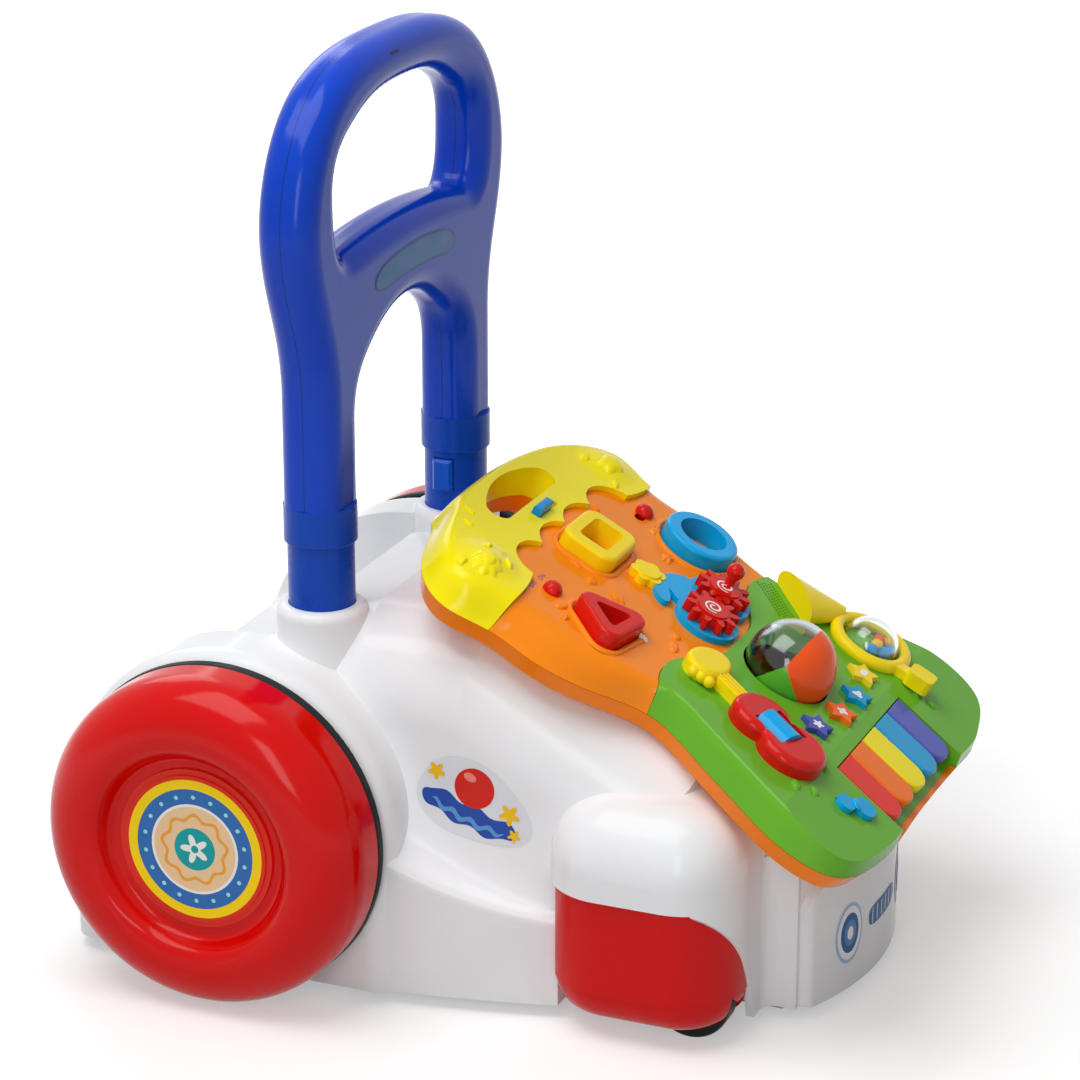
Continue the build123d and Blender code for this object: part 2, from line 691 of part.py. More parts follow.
def grip_region(gap):
    """Area of the grip moulding: side lobes and a scalloped edge towards the board's middle."""
    edges = []
    end_x, end_y = grip_lobe[-1]
    for sign in (1, -1):
        for a, b, c in zip(grip_tips, grip_lows, grip_tips[1:]):
            edges.append(ThreePointArc(*[(sign * x, y + gap) for x, y in (a, b, c)]))
        edges.append(ThreePointArc(*[(sign * x, y + gap) for x, y in grip_lobe]))
        edges.append(Polyline((sign * end_x, end_y + gap), (sign * far, end_y + gap), (sign * far, far)))
    edges.append(Line((-far, far), (far, far)))
    return Pos(0, 0, -far) * extrude(make_face(Curve() + edges), 2 * far)


def front_region(gap):
    """Area of the front cover: two lobes that reach back on each side of a dip."""
    right = [(x, y - gap) for x, y in front_edge]
    run_x, run_y = front_end_run
    edges = [Spline(*right, tangents=[(1, 0), (run_x, run_y)]),
             Spline(*[(-x, y) for x, y in right], tangents=[(-1, 0), (-run_x, run_y)])]
    end_x, end_y = right[-1]
    edges.append(Polyline((end_x, end_y), (far, end_y), (far, -3 * far), (-far, -3 * far), (-far, end_y),
                          (-end_x, end_y)))
    return Pos(0, 0, -far) * extrude(make_face(Curve() + edges), 2 * far)


def behind(y):
    return box(-far, far, -3 * far, y, -far, far)


def slope_frame():
    """Frame on the front cover where its face falls away: same x, y along the fall, z off it."""
    return Pos(0, slope_y, cover_top) * Rot(key_slope, 0, 0)


def grip_hole():
    rear_mid = (0, grip_hole_rear)
    half = grip_hole_half
    arc = ThreePointArc((half, grip_hole_front), rear_mid, (-half, grip_hole_front))
    face = make_face(Curve() + [arc, Line((-half, grip_hole_front), (half, grip_hole_front))])
    face = fillet(face.vertices(), 7)
    return Pos(0, 0, -far) * extrude(face, 2 * far)


def round_peg(x, y, radius, low, high):
    return Pos(x, y, (low + high) / 2) * Cylinder(radius, high - low)


def bosses(low, high, radius):
    shape = None
    for x, y in screw_places:
        for side in (-1, 1):
            peg = round_peg(side * x, y, radius, low, high)
            shape = peg if shape is None else shape + peg
    return shape


boss_hole = screw_radius + fit
floor_top = base_low + board_wall
door_wide = cell_length + 10
door_long = cell_count * 2 * cell_radius + 8


def panel_base():
    solid = loft([outline(0, base_draw, base_low), outline(0, 0, seam - part_line)])
    hollow = loft([outline(0, base_draw + board_wall, floor_top), outline(0, board_wall, seam + 1)])
    solid = solid - (hollow & behind(grip_end))
    spindle = round_peg(0, ball_y, ball_spindle + board_wall, floor_top, floor_top + 5)
    spindle = spindle - round_peg(0, ball_y, ball_spindle + clear, floor_top, floor_top + 5)
    solid = solid + bosses(base_low, seam - part_line, boss_radius) + spindle
    posts = None
    for x in (-1, 1):
        for y in (-1, 1):
            peg = round_peg(x * (circuit_wide / 2 - 5), circuit_y + y * (circuit_long / 2 - 5), 3,
                            base_low + 1, circuit_z)
            posts = peg if posts is None else posts + peg
    solid = solid + posts
    solid = solid - bosses(base_low - 1, seam, boss_hole)
    solid = solid - bosses(base_low - 1, base_low + 2.4, screw_radius + 1.6)
    door = box(-door_wide / 2, door_wide / 2, cell_y - door_long / 2, cell_y + door_long / 2,
               base_low - 1, floor_top + 1)
    return solid - door - grip_hole()


def battery_door():
    half_w, half_l = door_wide / 2 - clear, door_long / 2 - clear
    return box(-half_w, half_w, cell_y - half_l, cell_y + half_l, base_low, floor_top)


def batteries():
    cells = []
    for i in range(cell_count):
        y = cell_y + (i - (cell_count - 1) / 2) * (2 * cell_radius + 0.4)
        z = floor_top + cell_radius + fit
        cell = rod_x(cell_radius, -cell_length / 2, cell_length / 2 - 2, y, z)
        cells.append(cell + rod_x(2.6, cell_length / 2 - 2, cell_length / 2, y, z))
    return Compound(cells)


def panel_screws():
    screws = []
    for x, y in screw_places:
        for side in (-1, 1):
            shank = round_peg(side * x, y, screw_radius, base_low, seam + 5)
            screws.append(shank + round_peg(side * x, y, screw_radius + 1.5, base_low, base_low + 2.3))
    return Compound(screws)


def under_bosses(top):
    """Screw bosses that hang from a cover's skin down to the seam."""
    return bosses(seam, top + 1, boss_radius), bosses(seam - 1, seam + 5 + clear, boss_hole)


def block_plan(kind, grow):
    if kind == "square":
        face = Pos(0, square_y) * Rectangle(square_wide + 2 * grow, square_long + 2 * grow)
        return fillet(face.vertices(), 8 + grow)
    if kind == "triangle":
        face = RegularPolygon(triangle_radius + 2 * grow, 3, major_radius=True, rotation=90 - 8)
        return Pos(-side_block_x, side_block_y) * fillet(face.vertices(), 7 + grow)
    return Pos(side_block_x, side_block_y) * Circle(ring_radius + grow)


def block_hole(kind):
    inner = -block_frame
    if kind == "square":
        face = Pos(0, square_y) * Rectangle(square_wide + 2 * inner, square_long + 2 * inner)
        return fillet(face.vertices(), 3)
    if kind == "triangle":
        face = RegularPolygon(triangle_radius + 2 * inner, 3, major_radius=True, rotation=90 - 8)
        return Pos(-side_block_x, side_block_y) * fillet(face.vertices(), 2)
    return Pos(side_block_x, side_block_y) * Circle(ring_radius + inner)


block_kinds = ["square", "triangle", "round"]
block_floor = middle_top - recess


def block(kind):
    solid = extrude(Pos(0, 0, block_floor) * block_plan(kind, 0), block_deep)
    solid = fillet(solid.edges().group_by(Axis.Z)[-1], 2.2)
    hole = extrude(Pos(0, 0, block_floor - 1) * block_hole(kind), block_deep + 2)
    return solid - hole


def gear_centres():
    gap = gear_module * gear_teeth + gear_space
    turn = radians(gear_lean)
    return (gear_x, gear_y), (gear_x + gap * cos(turn), gear_y + gap * sin(turn))


def slider_slot(side):
    x0 = side * slider_x
    middle_x = x0 - side * slider_travel / 2
    wide = slider_slot_wide + 2 * clear
    face = Pos(middle_x, slider_y) * SlotOverall(slider_travel + wide, wide)
    return Pos(0, 0, -far / 2) * extrude(face, far)


tether_places = [(square_wide / 2, square_y, 1, 0), (-side_block_x + 9, side_block_y - 15, 0.6, -0.8),
                 (side_block_x + 12.5, side_block_y - 15.6, 0.62, -0.78)]


def tether(place, radius, extra):
    """Short stretch of cord from a block's foot into its hole in the board."""
    x, y, run_x, run_y = place
    top = Vector(x + run_x * 1.2, y + run_y * 1.2, middle_top + 2.2)
    run = tether_run + extra
    low = Vector(x + run_x * run, y + run_y * run, middle_top - 1.5 - extra)
    way = low - top
    return Plane(origin=top, z_dir=way) * extrude(Circle(radius), way.length)


def block_tethers():
    return Compound([tether(place, tether_radius, 0) for place in tether_places])


def panel_middle():
    solid = cover_form(middle_top, 0, seam) - grip_region(0) - front_region(0)
    hollow = cover_form(middle_top - middle_skin, board_wall, seam - 1)
    hang, holes = under_bosses(middle_top - middle_skin)
    solid = solid - hollow
    solid = solid + (hang & (cover_form(middle_top - 1, 0, seam) - grip_region(0) - front_region(0)))
    solid = solid - holes
    for kind in block_kinds:
        solid = solid - extrude(Pos(0, 0, block_floor) * block_plan(kind, block_gap), far)
    for side in (-1, 1):
        solid = solid - slider_slot(side)
    for place in tether_places:
        solid = solid - tether(place, tether_radius + clear, 2.0)
    return solid


def panel_grip():
    solid = cover_form(grip_top, 0, seam) & grip_region(part_line)
    hollow = cover_form(middle_top - middle_skin, board_wall, seam - 1) & behind(grip_end)
    solid = solid - hollow - grip_hole()
    slot = box(-tab_slot / 2, tab_slot / 2, tab_y - tab_thick / 2 - clear, tab_y + tab_thick / 2 + clear,
               grip_top - 9, far)
    return solid - slot


def release_tab():
    x0 = -tab_slot / 2 + clear
    fin = box(x0, x0 + tab_long, tab_y - tab_thick / 2, tab_y + tab_thick / 2,
              grip_top - 9 + 0.1, grip_top + tab_rise)
    return fillet(fin.edges().group_by(Axis.Z)[-1], 1.6)


def slider(side):
    """Dome with a stem through its slot and a foot under the board's skin."""
    x = side * slider_x
    dome = Pos(x, slider_y, middle_top + clear) * Sphere(slider_radius)
    dome = dome & box(-far, far, -far, far, middle_top + clear, far)
    stem = round_peg(x, slider_y, 2.3, middle_top - middle_skin - 0.5, middle_top + clear + 1)
    foot = round_peg(x, slider_y, 4.2, middle_top - middle_skin - 2.2, middle_top - middle_skin - clear)
    return dome + stem + foot


# Gears
def gear_plan():
    """Stub involute gear."""
    pitch_r = gear_module * gear_teeth / 2
    base_r = pitch_r * cos(radians(25))
    tip_r = pitch_r + 0.8 * gear_module
    root_r = pitch_r - 1.1 * gear_module
    slack = 0.35
    flank_turn = pi / (2 * gear_teeth) - slack / (2 * pitch_r)

    def involute(r):
        a = acos(min(1, base_r / r))
        return tan(a) - a

    points = []
    for tooth in range(gear_teeth):
        middle = 2 * pi * tooth / gear_teeth
        radii = [root_r, base_r, (base_r + tip_r) / 2, tip_r]
        half = [flank_turn + involute(pitch_r) - involute(max(r, base_r)) for r in radii]
        for r, h in zip(radii, half):
            points.append((r * cos(middle - h), r * sin(middle - h)))
        for r, h in reversed(list(zip(radii, half))):
            points.append((r * cos(middle + h), r * sin(middle + h)))
    return make_face(Polyline(*points, close=True))


gear_low = middle_top + gear_plate_thick + clear
gear_high = gear_low + gear_thick
pin_high = gear_high - 1.5


def gear_plate():
    first, second = gear_centres()
    tip_r = gear_module * (gear_teeth / 2 + 0.8) + 2.4
    face = Pos(*first) * Circle(tip_r) + Pos(*second) * Circle(tip_r)
    middle = ((first[0] + second[0]) / 2, (first[1] + second[1]) / 2)
    face = face + Pos(middle[0], middle[1] + 11) * Circle(tip_r - 3)
    face = face + Pos(flower_x + 2, flower_y - 14) * Rectangle(8, 18)
    for side in (-1, 1):
        leaf = Pos(flower_x + 2 + side * 9, flower_y - 12) * Rot(0, 0, -side * 35) * Ellipse(9, 4)
        face = face + leaf
    solid = extrude(Pos(0, 0, middle_top) * face, gear_plate_thick)
    for x, y in (first, second):
        solid = solid + round_peg(x, y, gear_pin, middle_top, pin_high)
    return solid


def gear(number):
    place = gear_centres()[number]
    turn = gear_lean if number == 0 else gear_lean + 180 + 180 / gear_teeth
    solid = Pos(*place, gear_low) * Rot(0, 0, turn) * extrude(gear_plan(), gear_thick)
    hub = round_peg(*place, gear_module * gear_teeth / 2 - 4, gear_low, gear_high + 0.8)
    solid = solid + hub
    if number == 1:
        x, y = place[0] + 4.5, place[1]
        stem = round_peg(x, y, 2.6, gear_high, gear_high + knob_height - knob_radius)
        solid = solid + stem + Pos(x, y, gear_high + knob_height - knob_radius) * Sphere(knob_radius)
    return solid - round_peg(*place, gear_pin + fit, 0, pin_high + clear)


def flower_head():
    solid = round_peg(flower_x, flower_y, flower_radius, middle_top, middle_top + 5)
    for i in range(6):
        turn = radians(60 * i)
        x, y = flower_x + 6.2 * cos(turn), flower_y + 6.2 * sin(turn)
        solid = solid + round_peg(x, y, 3.4, middle_top, middle_top + 4)
    return solid - gear_plate()


# Spinning ball: three parts of a hollow sphere that meet at a pole
pole = Vector(-0.92, -0.03, 0.39)
pole_right = Vector(0.388, -0.818, 0.426)
ball_parts = {"clear": (48, 200), "green": (200, 285), "orange": (285, 408)}


def ball_shell(kind):
    start, end = ball_parts[kind]
    reach = 3 * ball_radius
    plane = Plane(origin=(0, ball_y, ball_z), x_dir=pole_right - pole * pole.dot(pole_right), z_dir=pole)
    points = [(0, 0)]
    for share in (0, 0.5, 1):
        turn = radians(start + (end - start) * share)
        points.append((reach * cos(turn), reach * sin(turn)))
    wedge = extrude(plane * make_face(Polyline(*points, close=True)), reach, both=True)
    ball = Pos(0, ball_y, ball_z) * (Sphere(ball_radius) - Sphere(ball_radius - ball_wall))
    solid = ball & wedge
    if kind == "green":
        low = floor_top + clear
        top = ball_z - ball_radius + 0.6
        solid = solid + round_peg(0, ball_y, ball_spindle, low, top)
    return solid


# Toy guitar with a roller
def guitar_place():
    return Pos(guitar_x, guitar_y, 0) * Rot(0, 0, -guitar_lean)


def guitar_body():
    face = Pos(0, -bout_gap) * Circle(bout_big) + Pos(0, bout_gap) * Circle(bout_small)
    solid = extrude(Pos(0, 0, cover_top) * face, guitar_high)
    solid = fillet(solid.edges().group_by(Axis.Z)[-1], 4)
    half_r = roller_radius + 0.8
    half_l = roller_length / 2 + clear
    solid = solid - box(-half_r, half_r, -half_l, half_l, cover_top - 1, far)
    pin = Pos(0, 0, roller_z) * Rot(90, 0, 0) * Cylinder(roller_pin + fit, roller_length + 12)
    return guitar_place() * (solid - pin)


def guitar_roller():
    drum = Rot(90, 0, 0) * Cylinder(roller_radius, roller_length)
    flats = RegularPolygon(roller_radius * 1.1, 8)
    drum = drum & (Rot(90, 0, 0) * extrude(flats, roller_length, both=True))
    drum = drum + Rot(90, 0, 0) * Cylinder(roller_pin, roller_length + 10)
    return guitar_place() * Pos(0, 0, roller_z) * drum


def guitar_neck():
    neck_low = bout_gap + bout_small - 1
    head_y = neck_low + 25
    neck = box(-4.5, 4.5, neck_low, head_y, cover_top, cover_top + 6)
    for x in (-2.7, 0, 2.7):
        neck = neck + box(x - 0.7, x + 0.7, neck_low, head_y, cover_top + 5, cover_top + 7)
    head = extrude(Pos(0, head_y, cover_top) * Ellipse(13, 11), 8)
    head = fillet(head.edges().group_by(Axis.Z)[-1], 3)
    for i in range(3):
        head = head + Pos(1.6 * i - 12.5, head_y - 2 - 4.2 * i, cover_top + 3.4) * Sphere(3)
    solid = guitar_place() * (neck + head)
    solid = solid & box(-far, far, -3 * far, far, cover_top, far)
    return solid - guitar_body()


# Toy trumpet round a clear dome
def trumpet():
    ring = Pos(trumpet_x, trumpet_y, cover_top + 2) * Torus(trumpet_ring, trumpet_tube)
    mouth = Plane(origin=(trumpet_x - 9.5, trumpet_y + 44, cover_top + 4), x_dir=(-0.66, -0.75, 0),
                  z_dir=(0.75, -0.66, 0))
    throat = Plane(origin=(trumpet_x + 7, trumpet_y + trumpet_ring + 1, cover_top + 3),
                   x_dir=(-0.94, -0.35, 0), z_dir=(0.35, -0.94, 0))
    bell = loft([mouth * Ellipse(19, 9), throat * Ellipse(5.5, 4)])
    tip_x, tip_y = trumpet_x - 8, trumpet_y - trumpet_ring - trumpet_tube - 9
    tip = box(tip_x - 6, tip_x + 6, tip_y - 7, tip_y + 7, cover_top, cover_top + 8)
    tip = fillet(tip.edges().filter_by(Axis.Z), 3)
    stem = box(tip_x - 3.5, tip_x + 3.5, tip_y + 6, trumpet_y - trumpet_ring + 1, cover_top, cover_top + 5)
    solid = ring + bell + tip + stem
    return solid & box(-far, far, -3 * far, far, cover_top, far)


def trumpet_dome():
    dome = Sphere(dome_radius) - Sphere(dome_radius - dome_wall)
    dome = Pos(trumpet_x, trumpet_y, cover_top) * (dome & box(-far, far, -far, far, 0, far))
    return dome


# Buttons and keys of the front cover
def star_plan(grow):
    points = []
    for i in range(10):
        r = star_radius + 1.4 * grow if i % 2 == 0 else 0.56 * star_radius + grow
        points.append((r * sin(pi * i / 5), r * cos(pi * i / 5)))
    return make_face(Polyline(*points, close=True))


flange_low = cover_top - cover_skin - 2.4
flange_high = cover_top - cover_skin - clear


def star_button(number):
    place = Pos(*star_places[number], 0)
    solid = extrude(Pos(0, 0, flange_low) * star_plan(0), cover_top + button_rise - flange_low)
    solid = solid + round_peg(0, 0, star_radius + 1, flange_low, flange_high)
    return place * solid


def bow_plan(grow):
    face = Pos(-4.2, 4.2) * Circle(5 + grow) + Pos(4.2, -4.2) * Circle(6 + grow)
    return face


def bow_place():
    return slope_frame() * Pos(bow_x, bow_y - slope_y, 0)


def bow_button():
    low = -cover_skin - 2.4
    solid = extrude(Pos(0, 0, low) * bow_plan(0), button_rise - low)
    flange = extrude(Pos(0, 0, low) * bow_plan(1), 2.1)
    return bow_place() * (solid + flange)


key_drop = (key_rear_y - key_front_y) * sin(radians(key_swing))
bed_low = -(key_sink + key_thick + key_drop + bed_spare)
bed_half = key_count * key_pitch / 2 + clear


def piano_key(number):
    half = (key_pitch - key_gap) / 2
    rear, front = key_rear_y - slope_y, key_front_y - slope_y
    x = (number - (key_count - 1) / 2) * key_pitch
    face = Pos(x, (rear + front) / 2) * Rectangle(2 * half, rear - front)
    face = fillet(face.vertices().group_by(Axis.Y)[0], half - 0.5)
    solid = extrude(Pos(0, 0, -key_sink - key_thick) * face, key_thick)
    solid = fillet(solid.edges().group_by(Axis.Z)[-1], 1.2)
    return slope_frame() * solid


def panel_front_cover():
    form = cover_form(cover_top, 0, seam) & front_region(part_line)
    fall = slope_frame() * box(-far, far, -far, 0, 0, far)
    form = form - fall
    hollow = cover_form(cover_top - cover_skin, board_wall, seam - 1)
    hollow = hollow - slope_frame() * box(-far, far, -far, 0, -cover_skin, far)
    pad = slope_frame() * box(-bed_half - board_wall, bed_half + board_wall, -far,
                              key_rear_y - slope_y + board_wall + clear, bed_low - 2, 0)
    solid = form - hollow
    hang, holes = under_bosses(cover_top - cover_skin)
    solid = solid + (pad & form) + (hang & form) - holes
    bed = slope_frame() * box(-bed_half, bed_half, -far, key_rear_y - slope_y + clear, bed_low, far)
    solid = solid - bed
    for x, y in star_places:
        solid = solid - Pos(x, y, 0) * extrude(Pos(0, 0, flange_high) * star_plan(clear), far)
        solid = solid - round_peg(x, y, star_radius + 1 + clear, flange_low - star_travel - clear,
                                  cover_top - cover_skin)
    foot_low = -cover_skin - 2.4 - star_travel - clear
    foot_room = extrude(Pos(0, 0, foot_low) * bow_plan(1 + clear), -cover_skin - foot_low)
    solid = solid - bow_place() * foot_room
    solid = solid - bow_place() * extrude(Pos(0, 0, -cover_skin - clear) * bow_plan(clear), far)
    solid = solid - round_peg(0, ball_y, ball_radius + clear, seam - 1, far)
    half_r = roller_radius + 0.8
    half_l = roller_length / 2 + clear
    solid = solid - guitar_place() * box(-half_r, half_r, -half_l, half_l, seam, far)
    return solid


def speaker():
    rim = round_peg(speaker_x, speaker_y, speaker_radius, flange_high - 3, flange_high + clear)
    cone = Pos(speaker_x, speaker_y, flange_high - 3) * extrude(Circle(speaker_radius - 3), -6, taper=30)
    magnet = round_peg(speaker_x, speaker_y, speaker_radius - 7, flange_high - 12, flange_high - 8)
    return rim + cone + magnet


def circuit_board():
    half_w, half_l, top = circuit_wide / 2, circuit_long / 2, circuit_z + circuit_thick
    plate = box(-half_w, half_w, circuit_y - half_l, circuit_y + half_l, circuit_z, top)
    chip = box(-6, 6, circuit_y - 6, circuit_y + 6, top, top + 1.4)
    return plate + chip


def left_right(name, shape):
    return {name + "_left": shape, name + "_right": other_side(shape)}


def build():
    nodes = {"body_shell": body_shell(), "base_plate": base_plate(),
             "rear_axle": rod_x(axle_radius, -axle_end, axle_end, axle_y, tyre_radius)}
    for name, make in (("wheel_skirt", wheel_skirt), ("rear_wheel", rear_wheel), ("rear_tyre", rear_tyre),
                       ("wheel_cap", wheel_cap), ("front_wheel", front_wheel), ("handle_post", handle_post),
                       ("handle_collar", handle_collar), ("latch_button", latch_button)):
        nodes.update(left_right(name, make()))
    axle = front_axle()
    nodes["front_axles"] = Compound([axle, other_side(axle)])
    nodes["handle_front_shell"] = handle_half_shell(-1)
    nodes["handle_rear_shell"] = handle_half_shell(1)
    toys = {"panel_base": panel_base(), "panel_middle": panel_middle(), "panel_grip": panel_grip(),
            "panel_front_cover": panel_front_cover(), "battery_door": battery_door(),
            "batteries": batteries(), "panel_screws": panel_screws(), "circuit_board": circuit_board(),
            "speaker": speaker(),
            "block_tethers": block_tethers(), "release_tab": release_tab(), "power_slider": slider(-1),
            "volume_slider": slider(1), "gear_plate": gear_plate(), "plain_gear": gear(0),
            "crank_gear": gear(1), "flower_head": flower_head(), "guitar_body": guitar_body(),
            "guitar_roller": guitar_roller(), "guitar_neck": guitar_neck(), "trumpet": trumpet(),
            "trumpet_dome": trumpet_dome(), "bow_button": bow_button()}
    for kind in block_kinds:
        toys[kind + "_block"] = block(kind)
    for kind in ball_parts:
        toys["ball_" + kind + "_part"] = ball_shell(kind)
    for number in range(len(star_places)):
        toys["star_button_" + str(number + 1)] = star_button(number)
    for number in range(key_count):
        toys["piano_key_" + str(number + 1)] = piano_key(number)
    for name, shape in toys.items():
        nodes[name] = board * shape
    return centred(nodes)


def centred(nodes):
    """Move every piece along y so that the origin lies under the middle of the whole."""
    boxes = [shape.bounding_box() for shape in nodes.values()]
    middle = (min(b.min.Y for b in boxes) + max(b.max.Y for b in boxes)) / 2
    return {name: Pos(0, -middle, 0) * shape for name, shape in nodes.items()}


def main():
    os.makedirs("parts", exist_ok=True)
    for name, shape in build().items():
        export_step(shape, "parts/" + name + ".step")


main()
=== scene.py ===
import json
import math
import bmesh
import bpy
import numpy as np
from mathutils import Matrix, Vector


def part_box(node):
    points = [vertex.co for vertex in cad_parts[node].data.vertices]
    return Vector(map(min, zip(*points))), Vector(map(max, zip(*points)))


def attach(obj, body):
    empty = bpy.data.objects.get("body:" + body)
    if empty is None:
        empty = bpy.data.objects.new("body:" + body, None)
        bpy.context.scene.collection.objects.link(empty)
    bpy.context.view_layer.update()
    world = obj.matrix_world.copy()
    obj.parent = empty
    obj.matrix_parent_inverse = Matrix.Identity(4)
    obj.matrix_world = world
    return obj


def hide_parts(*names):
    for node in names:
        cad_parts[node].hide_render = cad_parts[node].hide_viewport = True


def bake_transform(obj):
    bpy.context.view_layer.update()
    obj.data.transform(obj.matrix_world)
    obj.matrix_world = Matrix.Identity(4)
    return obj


# Baby walker with a lift-off activity board: white moulded body, red wheels, blue push handle.
# The frame is in metres, front at -Y; real sizes below are in millimetres unless a note says otherwise.
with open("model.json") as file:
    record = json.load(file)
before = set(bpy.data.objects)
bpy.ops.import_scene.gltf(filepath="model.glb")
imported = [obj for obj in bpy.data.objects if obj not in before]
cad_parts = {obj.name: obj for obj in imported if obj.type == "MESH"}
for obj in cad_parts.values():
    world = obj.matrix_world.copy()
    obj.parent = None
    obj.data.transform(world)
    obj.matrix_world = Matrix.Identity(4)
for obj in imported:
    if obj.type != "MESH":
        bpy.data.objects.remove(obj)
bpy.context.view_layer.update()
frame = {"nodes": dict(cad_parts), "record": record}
nodes = frame["nodes"]
mm = 0.001
axleY = 109.7    # the rear axle's y in the drawing
shiftY = float(np.mean([corner[1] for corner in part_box("rear_axle")])) / mm - axleY   # drawing to frame
noiseSpan = (0.3, 0.7)    # where most values of a noise lie


def linear(hexColour):
    # sRGB hex to linear RGBA
    c = np.array([int(hexColour[i:i + 2], 16) for i in (1, 3, 5)]) / 255
    c = np.where(c <= 0.04045, c / 12.92, ((c + 0.055) / 1.055) ** 2.4)
    return (*c.tolist(), 1.0)


def addNode(tree, kind, settings={}, links={}):
    # settings go to the node's own properties or, by name or index, to its sockets
    node = tree.nodes.new(kind)
    for key, value in settings.items():
        if isinstance(key, str) and hasattr(node, key):
            setattr(node, key, value)
        else:
            node.inputs[key].default_value = value
    for key, socket in links.items():
        tree.links.new(socket, node.inputs[key])
    return node


def noise(tree, coords, size, detail):
    # features about `size` mm across
    return addNode(tree, "ShaderNodeTexNoise", {"Scale": 1 / (size * mm), "Detail": detail},
                   {"Vector": coords}).outputs["Fac"]


def bumped(tree, height, strength, depth):
    # normals of a bump up to `depth` mm deep
    return addNode(tree, "ShaderNodeBump", {"Strength": strength, "Distance": depth * mm},
                   {"Height": height}).outputs["Normal"]


def newMaterial(name):
    material = bpy.data.materials.new(name)
    material.use_nodes = True
    material.node_tree.nodes.clear()
    tree = material.node_tree
    coords = addNode(tree, "ShaderNodeTexCoord").outputs["Object"]
    return material, tree, coords


skinLook = {"wander": 14, "glossLow": 0.85, "glossHigh": 1.2, "peelDepth": 0.3, "ior": 1.5, "specular": 0.16}


def plasticShader(tree, coords, colour, rough, peel, grain):
    # gloss broken by a fine orange peel: roughness wanders over 14 mm, the bump's grain is real
    gloss = addNode(tree, "ShaderNodeMapRange",
                    {"From Min": noiseSpan[0], "From Max": noiseSpan[1], "To Min": rough * skinLook["glossLow"],
                     "To Max": rough * skinLook["glossHigh"]},
                    {"Value": noise(tree, coords, skinLook["wander"], 3)})
    peeled = bumped(tree, noise(tree, coords, grain, 2), peel, skinLook["peelDepth"])
    shader = addNode(tree, "ShaderNodeBsdfPrincipled",
                     {"IOR": skinLook["ior"], "Specular IOR Level": skinLook["specular"]},
                     {"Base Color": colour, "Roughness": gloss.outputs["Result"], "Normal": peeled})
    addNode(tree, "ShaderNodeOutputMaterial", {}, {"Surface": shader.outputs["BSDF"]})


def flowTint(tree, coords, hexColour, vary, size=55):
    # faint flow marks of the moulding: the colour drifts a little over some centimetres
    tone = np.array(linear(hexColour)[:3])
    low, high = (tuple(np.clip(tone * k, 0, 1).tolist()) + (1.0,) for k in (1 - vary, 1 + vary))
    span = addNode(tree, "ShaderNodeMapRange", {"From Min": noiseSpan[0], "From Max": noiseSpan[1]},
                   {"Value": noise(tree, coords, size, 2)})
    return addNode(tree, "ShaderNodeMix", {"data_type": "RGBA", 6: low, 7: high},
                   {0: span.outputs["Result"]}).outputs[2]


def overprint(tree, below, hexColour, mask):
    # ink laid over what is below wherever the mask is 1
    return addNode(tree, "ShaderNodeMix", {"data_type": "RGBA", 7: linear(hexColour)},
                   {0: mask, 6: below}).outputs[2]


def moulded(name, hexColour, rough=0.27, peel=0.10, grain=1.6, vary=0.025):
    # injection-moulded ABS or PP: even colour with faint flow marks, a soft gloss with orange peel
    material, tree, coords = newMaterial(name)
    plasticShader(tree, coords, flowTint(tree, coords, hexColour, vary), rough, peel, grain)
    return material


